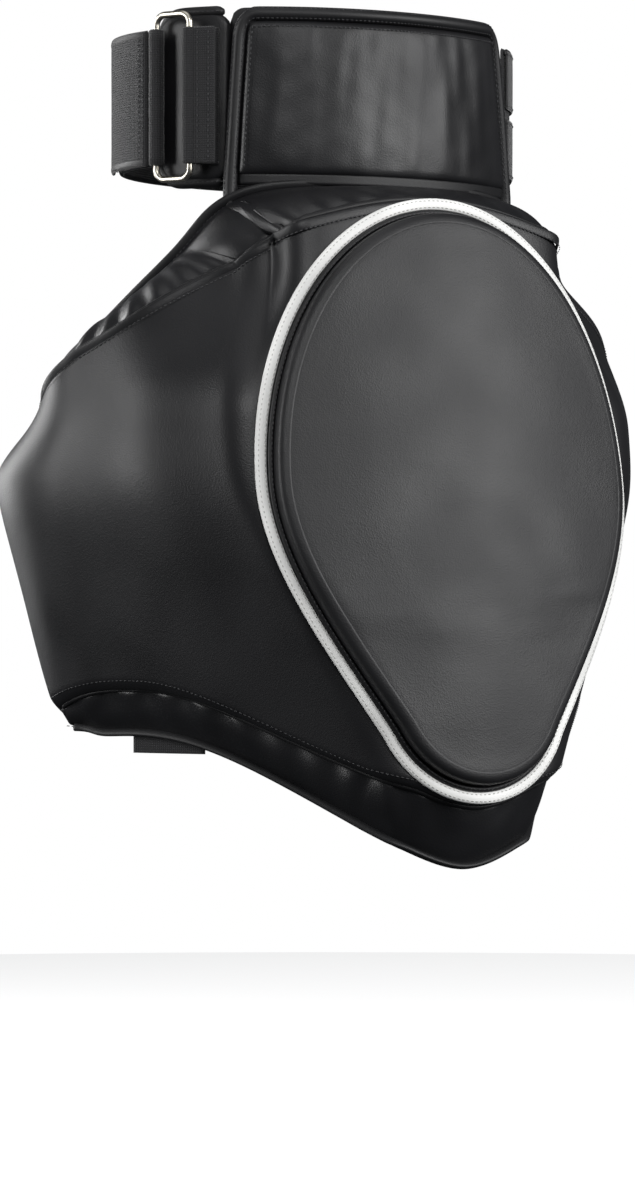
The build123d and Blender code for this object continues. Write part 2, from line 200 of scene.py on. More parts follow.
def woven(name, colour, roughness, yarn_mm, depth, sheen):
    """Woven or pile tape: crossing yarns from two wave patterns along the piece's own UV in metres."""
    material, tree, shader, coordinates = new_material(name, colour, roughness, **{"Sheen Weight": sheen})
    uv = coordinates.outputs["UV"]
    warp = add_node(tree, "ShaderNodeTexWave", {"bands_direction": "X", "wave_profile": "SIN"},
                    {"Scale": YARN_WAVE / (yarn_mm * MM), "Distortion": 0.6, "Detail": 1.0}, {"Vector": uv})
    weft = add_node(tree, "ShaderNodeTexWave", {"bands_direction": "Y", "wave_profile": "SIN"},
                    {"Scale": YARN_WAVE / (yarn_mm * MM), "Distortion": 0.6, "Detail": 1.0}, {"Vector": uv})
    cross = add_node(tree, "ShaderNodeMath", {"operation": "MULTIPLY"}, None,
                     {0: warp.outputs["Fac"], 1: weft.outputs["Fac"]})
    fuzz = add_node(tree, "ShaderNodeTexNoise", None, {"Scale": 1 / (1.2 * MM), "Detail": 4.0},
                    {"Vector": coordinates.outputs["Object"]})
    varied_colour(tree, shader, colour, fuzz, 0.7, 1.4)
    first = add_node(tree, "ShaderNodeBump", None, {"Strength": 0.8, "Distance": depth * MM},
                     {"Height": cross.outputs["Value"]})
    second = add_node(tree, "ShaderNodeBump", None, {"Strength": 0.6, "Distance": 0.2 * MM},
                      {"Height": fuzz.outputs["Fac"], "Normal": first.outputs["Normal"]})
    tree.links.new(second.outputs["Normal"], shader.inputs["Normal"])
    return material


def plated_steel(name, colour):
    """Bent wire with satin nickel plate: fine scratches and small changes of gloss."""
    material, tree, shader, coordinates = new_material(name, colour, 0.27, Metallic=1.0)
    scratch = add_node(tree, "ShaderNodeTexNoise", None, {"Scale": 1 / (0.8 * MM), "Detail": 5.0},
                       {"Vector": coordinates.outputs["Object"]})
    gloss = add_node(tree, "ShaderNodeMapRange", None, {"To Min": 0.2, "To Max": 0.4},
                     {"Value": scratch.outputs["Fac"]})
    tree.links.new(gloss.outputs["Result"], shader.inputs["Roughness"])
    bump = add_node(tree, "ShaderNodeBump", None, {"Strength": 0.15, "Distance": 0.05 * MM},
                    {"Height": scratch.outputs["Fac"]})
    tree.links.new(bump.outputs["Normal"], shader.inputs["Normal"])
    return material


def cell_foam(name, colour):
    """Closed-cell foam: dull, with small round cells."""
    material, tree, shader, coordinates = new_material(name, colour, 0.85)
    cells = add_node(tree, "ShaderNodeTexVoronoi", None, {"Scale": 1 / (1.5 * MM)},
                     {"Vector": coordinates.outputs["Object"]})
    bump = add_node(tree, "ShaderNodeBump", None, {"Strength": 0.6, "Distance": 0.4 * MM},
                    {"Height": cells.outputs["Distance"]})
    tree.links.new(bump.outputs["Normal"], shader.inputs["Normal"])
    return material


def thread(name, colour):
    """Bonded sewing thread: slightly glossy twisted yarn."""
    material, tree, shader, coordinates = new_material(name, colour, 0.5, **{"Sheen Weight": 0.2})
    twist = add_node(tree, "ShaderNodeTexWave", {"bands_direction": "DIAGONAL"},
                     {"Scale": 1 / (0.9 * MM)}, {"Vector": coordinates.outputs["Object"]})
    bump = add_node(tree, "ShaderNodeBump", None, {"Strength": 0.4, "Distance": 0.15 * MM},
                    {"Height": twist.outputs["Fac"]})
    tree.links.new(bump.outputs["Normal"], shader.inputs["Normal"])
    return material


FINISHES = {}


def finish_of(name):
    """The finished material of that name, made once from the scene's colours."""
    if name in FINISHES:
        return FINISHES[name]
    c = bpy.context.scene.protector_colours
    makers = {
        # Smooth PU leather: soft broad highlights; the grain is drawn at 1.1 mm so that it shows.
        "leather": lambda: leather("pu_leather_black", c.leather, 0.42, 1.1, 0.16, 0.10),
        # The strike pad's leather is a little duller and more creased from blows.
        "strike": lambda: leather("pu_leather_strike_face", c.leather, 0.47, 1.1, 0.20, 0.22),
        # The gussets are thinner leather: a little glossier, with deeper creases.
        "gusset": lambda: leather("pu_leather_gusset", c.leather, 0.36, 1.1, 0.16, 0.16),
        # White leather is nearly smooth: its grain and creases are shallow.
        "white": lambda: leather("pu_leather_white", c.white, 0.45, 0.9, 0.06, 0.05),
        # The lining is a duller, coarser leather.
        "lining": lambda: leather("pu_leather_lining", c.lining, 0.6, 1.3, 0.2, 0.15),
        # The binding is folded thin leather: a finer, shallower grain and a duller shine.
        "binding": lambda: leather("folded_pu_binding", c.binding, 0.5, 0.9, 0.1, 0.1),
        # Webbing yarns are drawn at 1.6 mm, coarser than the real 0.8 mm, so that they show.
        "webbing": lambda: woven("polyester_webbing", c.webbing, 0.8, 1.6, 0.5, 0.25),
        # Loop pile is brushed: very dull, with a soft sheen at grazing light.
        "pile": lambda: woven("brushed_loop_pile", c.pile, 0.95, 1.4, 0.3, 0.5),
        # Moulded hooks stand in a grid, drawn about 1.5 mm apart, and are less dull than the pile.
        "hook": lambda: woven("moulded_hook_tape", c.pile, 0.6, 1.5, 0.6, 0.1),
        # Bonded thread has a fine twist and a small shine.
        "thread": lambda: thread("bonded_black_thread", c.thread),
        "white_thread": lambda: thread("bonded_white_thread", c.white_thread),
        # Nickel plate on bent wire: bright, with soft-edged reflections.
        "steel": lambda: plated_steel("nickel_plated_wire", c.steel),
        # Closed-cell foam is dull and pitted; its cells are drawn about 1.5 mm across.
        "foam": lambda: cell_foam("closed_cell_foam", c.foam),
    }
    FINISHES[name] = makers[name]()
    return FINISHES[name]


# ---- mesh helpers ---------------------------------------------------------------------------

def make_object(name, vertices, faces, finish, uv=None, smooth=True):
    """A mesh object from vertices in millimetres and a list of faces; uv is one pair per vertex."""
    mesh = bpy.data.meshes.new(name)
    mesh.from_pydata((np.asarray(vertices) * MM).tolist(), [], [list(map(int, f)) for f in faces])
    if uv is not None:
        layer = mesh.uv_layers.new(name="UVMap")
        corners = np.empty(len(mesh.loops), dtype=np.int32)
        mesh.loops.foreach_get("vertex_index", corners)
        layer.data.foreach_set("uv", (np.asarray(uv)[corners] * MM).ravel())
    mesh.polygons.foreach_set("use_smooth", [smooth] * len(mesh.polygons))
    mesh.materials.append(finish_of(finish))
    piece = bpy.data.objects.new(name, mesh)
    bpy.context.scene.collection.objects.link(piece)
    return piece


def outward_normals(piece):
    """Merges doubles and turns every face outward."""
    work = bmesh.new()
    work.from_mesh(piece.data)
    bmesh.ops.remove_doubles(work, verts=work.verts, dist=0.02 * MM)
    bmesh.ops.recalc_face_normals(work, faces=work.faces)
    work.to_mesh(piece.data)
    work.free()


def grid_faces(rows, columns, close_rows=False, close_columns=False):
    """Quads of a rows by columns grid, optionally closed on itself either way."""
    r = np.arange(rows if close_rows else rows - 1)
    c = np.arange(columns if close_columns else columns - 1)
    rr, cc = np.meshgrid(r, c, indexing="ij")
    r2, c2 = (rr + 1) % rows, (cc + 1) % columns
    quads = [rr * columns + cc, rr * columns + c2, r2 * columns + c2, r2 * columns + cc]
    return np.stack(quads, -1).reshape(-1, 4)


def grid_object(name, points, finish, uv=None, thickness=0.0, flip=False):
    """An open surface from a (rows, columns, 3) grid of points, with a wall if thickness is given."""
    rows, columns, _ = points.shape
    faces = grid_faces(rows, columns)
    if flip:
        faces = faces[:, ::-1]
    piece = make_object(name, points.reshape(-1, 3), faces, finish,
                        None if uv is None else uv.reshape(-1, 2))
    if thickness:
        wall = piece.modifiers.new("wall", "SOLIDIFY")
        wall.thickness = thickness * MM
        wall.offset = -1
        wall.use_even_offset = False
    return piece


def tube_object(name, sections, finish, closed=False, uv=None):
    """A closed skin over a row of outlines, (rows, columns, 3); open ends are capped to a middle point."""
    rows, columns, _ = sections.shape
    vertices = sections.reshape(-1, 3)
    faces = grid_faces(rows, columns, close_rows=closed, close_columns=True).tolist()
    if not closed:
        ends = np.stack([sections[0].mean(0), sections[-1].mean(0)])
        first, last = len(vertices), len(vertices) + 1
        vertices = np.vstack([vertices, ends])
        ring = np.arange(columns)
        after = (ring + 1) % columns
        faces += [[first, b, a] for a, b in zip(ring, after)]
        base = (rows - 1) * columns
        faces += [[last, base + a, base + b] for a, b in zip(ring, after)]
        if uv is not None:
            uv = np.vstack([uv.reshape(-1, 2), uv[0].mean(0), uv[-1].mean(0)])
    elif uv is not None:
        uv = uv.reshape(-1, 2)
    piece = make_object(name, vertices, faces, finish, uv)
    outward_normals(piece)
    return piece


def unit(vectors):
    """Vectors at length one."""
    return vectors / np.maximum(np.linalg.norm(vectors, axis=-1, keepdims=True), 1e-9)


def along(path, closed=False):
    """Unit direction of a path at each of its points."""
    if closed:
        return unit(np.roll(path, -1, 0) - np.roll(path, 1, 0))
    return unit(np.gradient(path, axis=0))


def run_of(path):
    """Distance along a path at each point."""
    return np.concatenate([[0], np.cumsum(np.linalg.norm(np.diff(path, axis=0), axis=1))])


def evenly(path, pitch, closed=False):
    """Points at an even pitch along a path."""
    if closed:
        path = np.vstack([path, path[:1]])
    run = run_of(path)
    count = max(2, int(round(run[-1] / pitch)))
    at = np.linspace(0, run[-1], count, endpoint=not closed)
    return np.stack([np.interp(at, run, path[:, k]) for k in range(3)], -1)


def piping(name, path, normal, half_width, half_height, finish, closed=False, sides=14):
    """A cord or folded strip: an ellipse carried along a path, flat side against the surface."""
    forward = along(path, closed)
    normal = unit(normal - forward * np.sum(normal * forward, -1, keepdims=True))
    side = np.cross(forward, normal)
    angle = np.linspace(0, 2 * np.pi, sides, endpoint=False)
    ring = (side[:, None] * (half_width * np.cos(angle))[None, :, None]
            + normal[:, None] * (half_height * np.sin(angle))[None, :, None])
    taper = np.ones(len(path))
    if not closed:
        ends = np.minimum(np.arange(len(path)), np.arange(len(path))[::-1])
        taper = np.sqrt(1 - (1 - np.minimum(1, (ends + 0.3) / 2.5)) ** 2)
    sections = path[:, None] + ring * taper[:, None, None]
    return tube_object(name, sections, finish, closed)


def stitches(name, path, normal, finish, pitch, length=2.3, width=0.75, height=0.5, closed=False):
    """A row of separate stitches: each is a small barrel of 5 rings by 6 sides, laid along the row."""
    points = evenly(path, pitch, closed)
    run = run_of(np.vstack([path, path[:1]]) if closed else path)
    source = np.vstack([normal, normal[:1]]) if closed else normal
    at = np.linspace(0, run[-1], len(points), endpoint=not closed)
    normal = unit(np.stack([np.interp(at, run, source[:, k]) for k in range(3)], -1))
    forward = along(points, closed)
    side = unit(np.cross(forward, normal))
    level = np.linspace(-1, 1, 5)
    swell = np.sqrt(np.maximum(0.06, 1 - level ** 2))
    angle = np.linspace(0, 2 * np.pi, 6, endpoint=False)
    lv, an = np.meshgrid(level, angle, indexing="ij")
    sw = np.repeat(swell[:, None], 6, 1)
    local = np.stack([lv * length / 2, sw * np.cos(an) * width / 2, sw * np.sin(an) * height], -1)
    local = local.reshape(-1, 3)
    every = (points[:, None] + local[None, :, :1] * forward[:, None] + local[None, :, 1:2] * side[:, None]
             + local[None, :, 2:3] * normal[:, None])
    faces = grid_faces(5, 6, close_columns=True).tolist()
    faces += [list(range(6))[::-1], list(range(24, 30))]
    count = len(local)
    all_faces = [[index + shift * count for index in face] for shift in range(len(points)) for face in faces]
    piece = make_object(name, every.reshape(-1, 3), all_faces, finish)
    outward_normals(piece)
    return piece


def soft_noise(u, v, seed, octaves=3):
    """Smooth repeatable noise from -1 to 1: a sum of sine waves with seeded directions and phases."""
    random = np.random.default_rng(seed)
    total = np.zeros(np.broadcast(u, v).shape)
    for octave in range(octaves):
        for _ in range(4):
            turn, phase = random.uniform(0, 2 * np.pi, 2)
            scale = 2.0 ** octave * random.uniform(0.8, 1.25)
            total += np.sin((u * np.cos(turn) + v * np.sin(turn)) * scale + phase) / (2.0 ** octave * 4)
    return total


def ease(value, low, high):
    """Smooth step from 0 at low to 1 at high."""
    share = np.clip((value - low) / (high - low), 0, 1)
    return share * share * (3 - 2 * share)


def soft_plus(value, width):
    """Zero below nought and the value above it, with a round change between."""
    return width * np.logaddexp(0, value / width)


# ---- the pad's outer surface ----------------------------------------------------------------

TABLES = {}

PAD = {
    "face_top": -72.0, "face_bottom": -476.0, "flank_offset": 216.0, "flank_angle": 60.0,
    "corner_reach": 16.0, "wing_start": (221.3, -51.1), "wing_radius": 80.0, "wing_end": 115.0,
    "widest": -263.0, "lower_taper": 0.28, "upper_taper": 0.09, "rear_tuck": 20.0,
    "rear_bulge": 15.0, "flank_bulge": 6.0, "corner_ease": 36.0,
    "bottom_rise": 76.0, "edge_roll": 9.0,
}
TOP_SEAM = ((0, 0.25, 0.5, 0.75, 1, 1.5, 2, 2.25, 2.5, 2.75, 3, 3.25, 3.5, 4),
            (-71, -73, -80, -90, -98, -105, -113, -126, -143, -159, -174, -184, -193, -207))
LOW_RUN = (0.0, 70.0, 90.0, 294.0, 352.0)


def pad_plan(share, height):
    """Plan point (x, y forward) of the right-hand half at a share of the run (0 middle, 1 corner
    start, 2 corner end, 3 flank end, 4 wing end) and a height: a gently curved face, a rounded
    corner as a quadratic curve, a straight flank and an arc for the wing."""
    size = bpy.context.scene.protector_sizes
    share, height = np.broadcast_arrays(np.asarray(share, float), np.asarray(height, float))
    k = 0.5 / size.face_radius
    lower = PAD["lower_taper"] * soft_plus(PAD["widest"] - height, 12.0)
    taper = lower + PAD["upper_taper"] * soft_plus(height - PAD["widest"], 12.0)
    offset = PAD["flank_offset"] - taper
    forward = size.face_forward + size.face_lean * (PAD["face_top"] - height)
    cosine, sine = np.cos(np.radians(PAD["flank_angle"])), np.sin(np.radians(PAD["flank_angle"]))
    # The corner is where the curved face meets the flank's line.
    corner = (sine - np.sqrt(np.maximum(1e-6, sine ** 2 - 4 * cosine * k * (offset - cosine * forward)))) \
        / (2 * cosine * k)
    reach = PAD["corner_reach"]
    start_x = corner - reach

    def face_y(x):
        """Forward distance of the curved face at x."""
        return forward - k * x ** 2

    face_x = start_x * np.clip(share, 0, 1)
    end_x, end_y = corner + reach * cosine, face_y(corner) - reach * sine
    t = np.clip(share - 1, 0, 1)
    bend_x = (1 - t) ** 2 * start_x + 2 * t * (1 - t) * corner + t ** 2 * end_x
    bend_y = (1 - t) ** 2 * face_y(start_x) + 2 * t * (1 - t) * face_y(corner) + t ** 2 * end_y
    wing_x = PAD["wing_start"][0] - sine * taper
    wing_y = -PAD["wing_start"][1] - cosine * taper
    t = np.clip(share - 2, 0, 1)
    swell = PAD["flank_bulge"] * np.sin(np.pi * t) ** 2
    flank_x = end_x + (wing_x - end_x) * t + swell * sine
    flank_y = end_y + (wing_y - end_y) * t + swell * cosine
    radius = PAD["wing_radius"] - taper
    turn = PAD["flank_angle"] + (PAD["wing_end"] - PAD["flank_angle"]) * np.clip(share - 3, 0, 1)
    turn = np.radians(turn)
    centre_x, centre_y = wing_x - radius * sine, wing_y - radius * cosine
    rear = np.clip(share - 3, 0, 1) ** 1.5
    tuck = PAD["rear_tuck"] * ease(height, PAD["widest"], PAD["widest"] + 70) * rear
    tuck = tuck - PAD["rear_bulge"] * (1 - ease(height, -262, -196)) * rear
    arc_x = centre_x + (radius - tuck) * np.sin(turn)
    arc_y = centre_y + (radius - tuck) * np.cos(turn)
    zone = np.digitize(share, [1.0, 2.0, 3.0])
    x = np.choose(zone, [face_x, bend_x, flank_x, arc_x])
    y = np.choose(zone, [face_y(face_x), bend_y, flank_y, arc_y])
    # The upper corners fall back behind the oval strike pad.
    fall = PAD["corner_ease"] * ease(height, -220, -112)
    fall = fall * ease(share, 0.7, 1.15) * (1 - ease(share, 2.0, 3.3))
    return x - sine * fall, y - cosine * fall


def top_height(share):
    """Height of the top seam: a table along the run, evened out so that it has no corners."""
    if "top seam" not in TABLES:
        at = np.linspace(-4, 4, 801)
        height = np.interp(np.abs(at), *TOP_SEAM)
        for _ in range(500):
            height[1:-1] = (height[:-2] + 2 * height[1:-1] + height[2:]) / 4
        TABLES["top seam"] = at, height
    return np.interp(share, *TABLES["top seam"])


def low_height(share):
    """Height of the bottom seam: a rounded dip at the middle that rises and levels out at the wings."""
    run = np.interp(share, range(5), LOW_RUN)
    rise = PAD["bottom_rise"] * np.sin(np.pi / 2 * np.minimum(1, run / 260)) ** 2
    return PAD["face_bottom"] + rise - 12 * np.clip((run - 270) / 80, 0, None) ** 2


def pad_surface(share, height, inset=0.0):
    """Points of the outer surface, set inward by an inset and rolled in near its top and bottom seams."""
    side = np.sign(np.where(share == 0, 1, share))
    share = np.minimum(np.abs(share), 4.0)
    x, forward = pad_plan(share, height)
    x2, forward2 = pad_plan(share + 0.01, height)
    x1, forward1 = pad_plan(np.maximum(share - 0.01, 0), height)
    out_x, out_y = forward1 - forward2, x2 - x1
    length = np.hypot(out_x, out_y)
    out_x, out_y = out_x / length, out_y / length
    out_x = np.where(share < 0.02, 0, out_x)
    roll = PAD["edge_roll"]
    near = np.minimum(top_height(share) - height, height - low_height(share))
    edge = np.clip(1 - near / roll, 0, 1)
    inset = inset + roll * 0.8 * (1 - np.sqrt(np.maximum(0, 1 - edge ** 2)))
    x, forward = x - inset * out_x, forward - inset * out_y
    return np.stack([side * x, -forward, height], -1)


def surface_normal(points_of, u, v, step=0.01):
    """Outward unit normal of a surface function by small differences along its two parameters."""
    du = points_of(u + step, v) - points_of(u - step, v)
    dv = points_of(u, v + step) - points_of(u, v - step)
    return unit(np.cross(du, dv))


def wing_point(u, v):
    """Outer surface by run share u and height share v, 0 at the bottom seam and 1 at the top one."""
    low, top = low_height(np.abs(u)), top_height(np.abs(u))
    return pad_surface(u, low + (top - low) * v)


# Where the lining meets the upper and lower bindings: x, forward, height at shares 0 to 4.
INNER_TOP = np.array([
    (0.0, 103.0, -61.0), (60.0, 97.0, -61.5), (100.0, 80.0, -64.0), (119.0, 66.0, -78.0),
    (135.0, 55.0, -104.0),
    (155.0, 38.0, -129.0), (173.0, 19.0, -154.0), (188.0, 3.0, -175.0), (198.0, -16.0, -196.0)])
INNER_TOP_AT = np.array([0.0, 0.4, 0.8, 1.2, 2.0, 2.6, 3.1, 3.55, 4.0])
INNER_LOW_DROP = ((0, 1, 2, 2.4, 2.8, 3.2, 4), (40, 38, 40, 29, 26, 28, 12))


def inner_top(share):
    """The upper edge of the lining: it follows the belt and then falls back along the wing."""
    if "top edge" not in TABLES:
        at = np.linspace(-4, 4, 801)
        columns = [np.interp(np.abs(at), INNER_TOP_AT, INNER_TOP[:, k]) for k in range(3)]
        edge = np.stack([columns[0] * np.sign(at), -columns[1], columns[2]], -1)
        for _ in range(900):
            edge[1:-1] = (edge[:-2] + 2 * edge[1:-1] + edge[2:]) / 4
        TABLES["top edge"] = at, edge
    at, edge = TABLES["top edge"]
    return np.stack([np.interp(share, at, edge[:, k]) for k in range(3)], -1)


def inner_depth(share, v):
    """Thickness of the pad at a run share and height share: thinner at the bottom and at the wing end."""
    a = np.abs(share)
    end = 16 + (54 - 16) * np.sqrt(np.clip(1 - (np.clip(a - 2.2, 0, 1.8) / 1.8) ** 2, 0, 1))
    low = 34 + (end - 34) * ease(v, 0.0, 0.45)
    return np.minimum(end, low)


def inner_low(share):
    """The lower edge of the lining: the outer seam set inward and let down, then evened out."""
    if "low edge" not in TABLES:
        at = np.linspace(-4, 4, 801)
        edge = pad_surface(at, low_height(np.abs(at)), inner_depth(at, 0.0) * 0.5)
        edge[..., 2] -= np.interp(np.abs(at), *INNER_LOW_DROP)
        for _ in range(700):
            edge[1:-1] = (edge[:-2] + 2 * edge[1:-1] + edge[2:]) / 4
        TABLES["low edge"] = at, edge
    at, edge = TABLES["low edge"]
    return np.stack([np.interp(share, at, edge[:, k]) for k in range(3)], -1)


def inner_point(u, v):
    """Lining surface between its lower and upper edges, pressed out towards the wearer in between."""
    low, top = inner_low(u), inner_top(u)
    plain = low + (top - low) * v[..., None]
    a = np.abs(u)
    height = np.clip(plain[..., 2], low_height(a) + 10, top_height(a) - 10)
    thick = pad_surface(u, height, inner_depth(u, v))
    share = (ease(v, 0.0, 0.22) * (1 - ease(v, 0.7, 1.0)))[..., None]
    mixed = plain * (1 - share) + thick * share
    mixed[..., 2] = plain[..., 2]
    return mixed


def pad_grid(u_from, u_to, columns, rows, v_from=0.0, v_to=1.0):
    """A grid of run shares and height shares, closer together near the corner and the seams."""
    u = np.linspace(u_from, u_to, columns)
    v = v_from + (v_to - v_from) * (1 - np.cos(np.linspace(0, np.pi, rows))) / 2
    return np.meshgrid(u, v)


def gusset_grid(columns, rows, outer, inner, seed, gathers, puff, upward):
    """A strip lofted between two edges, puffed out and gathered at the outer seam: the gathers are
    a wave along the seam whose depth dies away to nothing at the inner edge."""
    size = bpy.context.scene.protector_sizes
    u = np.linspace(-4, 4, columns)
    v = np.linspace(0, 1, rows)
    uu, vv = np.meshgrid(u, v)
    start, end = outer(u)[None], inner(u)[None]
    points = start + (end - start) * vv[..., None]
    du = unit(np.gradient(points, axis=1))
    dv = unit(np.gradient(points, axis=0))
    normal = unit(np.cross(du, dv)) * upward
    run = run_of(outer(u))
    wave = np.sin(run / gathers + 3 * soft_noise(run / 60, 0 * run, seed))[None]
    strength = (0.35 + 0.65 * ease(soft_noise(run / 80, 0 * run, seed + 1), -0.4, 0.5))[None]
    gather = wave * strength * np.exp(-vv * 3.2) * np.sin(np.pi * np.clip(vv * 1.04, 0, 1)) ** 0.35
    wide = soft_noise(uu * 2.2, vv * 2.5, seed + 2) * np.sin(np.pi * vv)
    lift = puff * np.sin(np.pi * vv) ** 0.7 + size.wrinkle_depth * (gather + 0.8 * wide)
    return points + normal * lift[..., None], np.stack([np.broadcast_to(run, uu.shape), vv * 60], -1)


def shade_uv(points):
    """UV in millimetres along the two ways of a grid of points."""
    across = run_of(points[len(points) // 2])
    up = run_of(points[:, len(across) // 2])
    return np.stack(np.meshgrid(across, up), -1)


# ---- the egg outline of the strike pad ------------------------------------------------------

def egg_outline(inset, count=220):
    """Half ellipse on top, eased flanks and a round tip, drawn inward by an inset: (x, height) pairs."""
    half, upper = EGG["half"] - inset, EGG["upper"] - inset
    middle, low, tip = FACE_TOP - EGG["upper"], EGG["low"] + inset, EGG["tip"] - inset
    lean = np.radians(EGG["lean"])
    tip_x, tip_z = tip * np.cos(lean), low + tip - tip * np.sin(lean)
    angle = np.linspace(0, np.pi / 2, 70)
    top = np.stack([half * np.sin(angle), middle + upper * np.cos(angle)], -1)
    t = np.linspace(0, 1, 60)[1:, None]
    controls = [(half, middle), (half, (2 * middle + tip_z) / 3),
                (tip_x + EGG["fullness"] * (half - tip_x), (middle + 2 * tip_z) / 3), (tip_x, tip_z)]
    flank = sum(np.array(c) * math.comb(3, i) * t ** i * (1 - t) ** (3 - i) for i, c in enumerate(controls))
    angle = np.linspace(-lean, -np.pi / 2, 40)[1:]
    end = np.stack([tip * np.cos(angle), low + tip + tip * np.sin(angle)], -1)
    right = np.vstack([top, flank, end])
    whole = np.vstack([right, (right * [-1, 1])[-2:0:-1]])
    flat = np.column_stack([whole, np.zeros(len(whole))])
    return evenly(flat, run_of(flat)[-1] / count, closed=True)[:count, :2]


def face_place(outline, rise):
    """Points of an (x, height) outline on the curved, leaning face, raised by a rise."""
    size = bpy.context.scene.protector_sizes
    x, z = outline[..., 0], outline[..., 1]
    forward = size.face_forward + size.face_lean * (PAD["face_top"] - z) - x ** 2 * 0.5 / size.face_radius
    return np.stack([x, -(forward + rise), z], -1)


def face_normal(outline):
    """Outward normal of the face at (x, height) points."""
    size = bpy.context.scene.protector_sizes
    x = outline[..., 0]
    return unit(np.stack([x / size.face_radius, -np.ones_like(x), size.face_lean * np.ones_like(x)], -1))


# ---- straps and bands that stand upright and follow a plan path ------------------------------

def belt_plan(turn, offset):
    """Plan points of the waist ellipse, turned from straight ahead towards the wearer's left, degrees."""
    size = bpy.context.scene.protector_sizes
    angle = np.radians(turn)
    return np.stack([(size.waist_half_width + offset) * np.sin(angle),
                     -(size.waist_half_depth + offset) * np.cos(angle)], -1)


def belt_path(turn_from, turn_to, offset, pitch=2.5):
    """An evenly spaced plan path along the waist ellipse; its left side is the outside."""
    turn = np.linspace(turn_from, turn_to, 400)
    plan = belt_plan(turn, offset)
    return evenly(np.column_stack([plan, 0 * turn]), pitch)[:, :2]


def edge_round(distance, radius):
    """Quarter-circle easing from 0 at an edge to 1 one radius away from it."""
    return np.sqrt(np.maximum(0, 1 - (1 - np.clip(distance / radius, 0, 1)) ** 2))


def upright_strip(name, path, thickness, low, high, finish, radius=1.0, puff=0.0, wrinkle=0.0, seed=1,
                  end_radius=None, rows=26, corner=0.0, outward=1):
    """A closed strip standing on a plan path: its outer and inner faces follow the path's normal at half
    the thickness each way, rounded at every edge, with the outer face puffed and softly wrinkled.
    With a corner, the strip's height is rounded off towards its ends."""
    flat = np.column_stack([path, np.zeros(len(path))])
    run = run_of(flat)
    way = along(flat)
    out = np.stack([way[:, 1], -way[:, 0]], -1) * outward
    share = (1 - np.cos(np.linspace(0, np.pi, rows))) / 2
    end_distance = np.minimum(run, run[-1] - run)
    cut = corner * (1 - edge_round(end_distance, max(corner, 1e-3))) if corner else 0 * run
    z = (low + cut)[:, None] + (high - low - 2 * cut)[:, None] * share[None]
    edge = np.minimum(z - z[:, :1], z[:, -1:] - z)
    near = np.minimum(edge, end_distance[:, None])
    half = thickness / 2 * np.maximum(0.08, edge_round(near, end_radius or radius))
    crown = puff * edge_round(near, 30.0)
    fold = wrinkle * (soft_noise(run[:, None] / 14, z / 45, seed) + 0.5 * soft_noise(run[:, None] / 7, z / 16,
                                                                                 seed + 3))
    outer = half + (crown + fold * edge_round(near, 14.0))
    face = np.concatenate([outer, -half[:, ::-1]], 1)
    zz = np.concatenate([z, z[:, ::-1]], 1)
    points = path[:, None] + out[:, None] * face[..., None]
    sections = np.concatenate([points, zz[..., None]], -1)
    uv = np.stack([np.broadcast_to(run[:, None], zz.shape), zz], -1)
    return tube_object(name, sections, finish, uv=uv)


def belt_strip(name, turn_from, turn_to, outer, inner, low, high, finish, **shape):
    """An upright strip between two offsets of the waist ellipse."""
    path = belt_path(turn_from, turn_to, (outer + inner) / 2)
    return upright_strip(name, path, outer - inner, low, high, finish, **shape)


def turn_of(path):
    """Turn of each point of a path round the waist ellipse, degrees."""
    size = bpy.context.scene.protector_sizes
    across, forward = path[:, 0] / size.waist_half_width, -path[:, 1] / size.waist_half_depth
    return np.degrees(np.arctan2(across, forward))


def on_belt(turn, offset, height):
    """Points at turns, offset and heights on the waist ellipse."""
    turn, height = np.broadcast_arrays(turn, height)
    return np.column_stack([belt_plan(turn, offset), height])


def belt_outward(turn):
    """Outward direction of the waist ellipse at turns."""
    size = bpy.context.scene.protector_sizes
    angle = np.radians(turn)
    out = np.stack([size.waist_half_depth * np.sin(angle), -size.waist_half_width * np.cos(angle),
                    0 * angle], -1)
    return unit(out)


def upright_row(name, turn, offset, low, high, finish, pitch, **shape):
    """A vertical row of stitches on the belt."""
    z = np.linspace(low, high, 30)
    turns = np.full(30, float(turn))
    return stitches(name, on_belt(turns, offset, z), belt_outward(turns), finish, pitch, **shape)


def level_row(name, turn_from, turn_to, offset, height, finish, pitch, **shape):
    """A level row of stitches round the belt."""
    turns = np.linspace(turn_from, turn_to, 60)
    return stitches(name, on_belt(turns, offset, np.full(60, float(height))), belt_outward(turns),
                    finish, pitch, **shape)


def narrow_upward(piece):
    """Draws a belt piece in round the waist ellipse towards its top, more on the wearer's left."""
    size = bpy.context.scene.protector_sizes
    points = np.empty(len(piece.data.vertices) * 3)
    piece.data.vertices.foreach_get("co", points)
    points = points.reshape(-1, 3) / MM
    across, forward = points[:, 0] / size.waist_half_width, -points[:, 1] / size.waist_half_depth
    turn, reach = np.arctan2(across, forward), np.hypot(across, forward)
    share = np.clip((points[:, 2] - BELT[0][2]) / (BELT[1][2] - BELT[0][2]), 0, 1)
    turn = turn * (1 - np.where(turn > 0, 0.22, 0.07) * share)
    points[:, 0] = size.waist_half_width * reach * np.sin(turn)
    points[:, 1] = -size.waist_half_depth * reach * np.cos(turn)
    piece.data.vertices.foreach_set("co", (points * MM).ravel())
    return piece


def on_root(piece, slot, *nodes):
    """Fixes a piece to the main body and hides the CAD nodes that it stands for; the slot is not used."""
    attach(piece, "root")
    if nodes:
        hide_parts(*nodes)
    return piece


# ---- operators ------------------------------------------------------------------------------

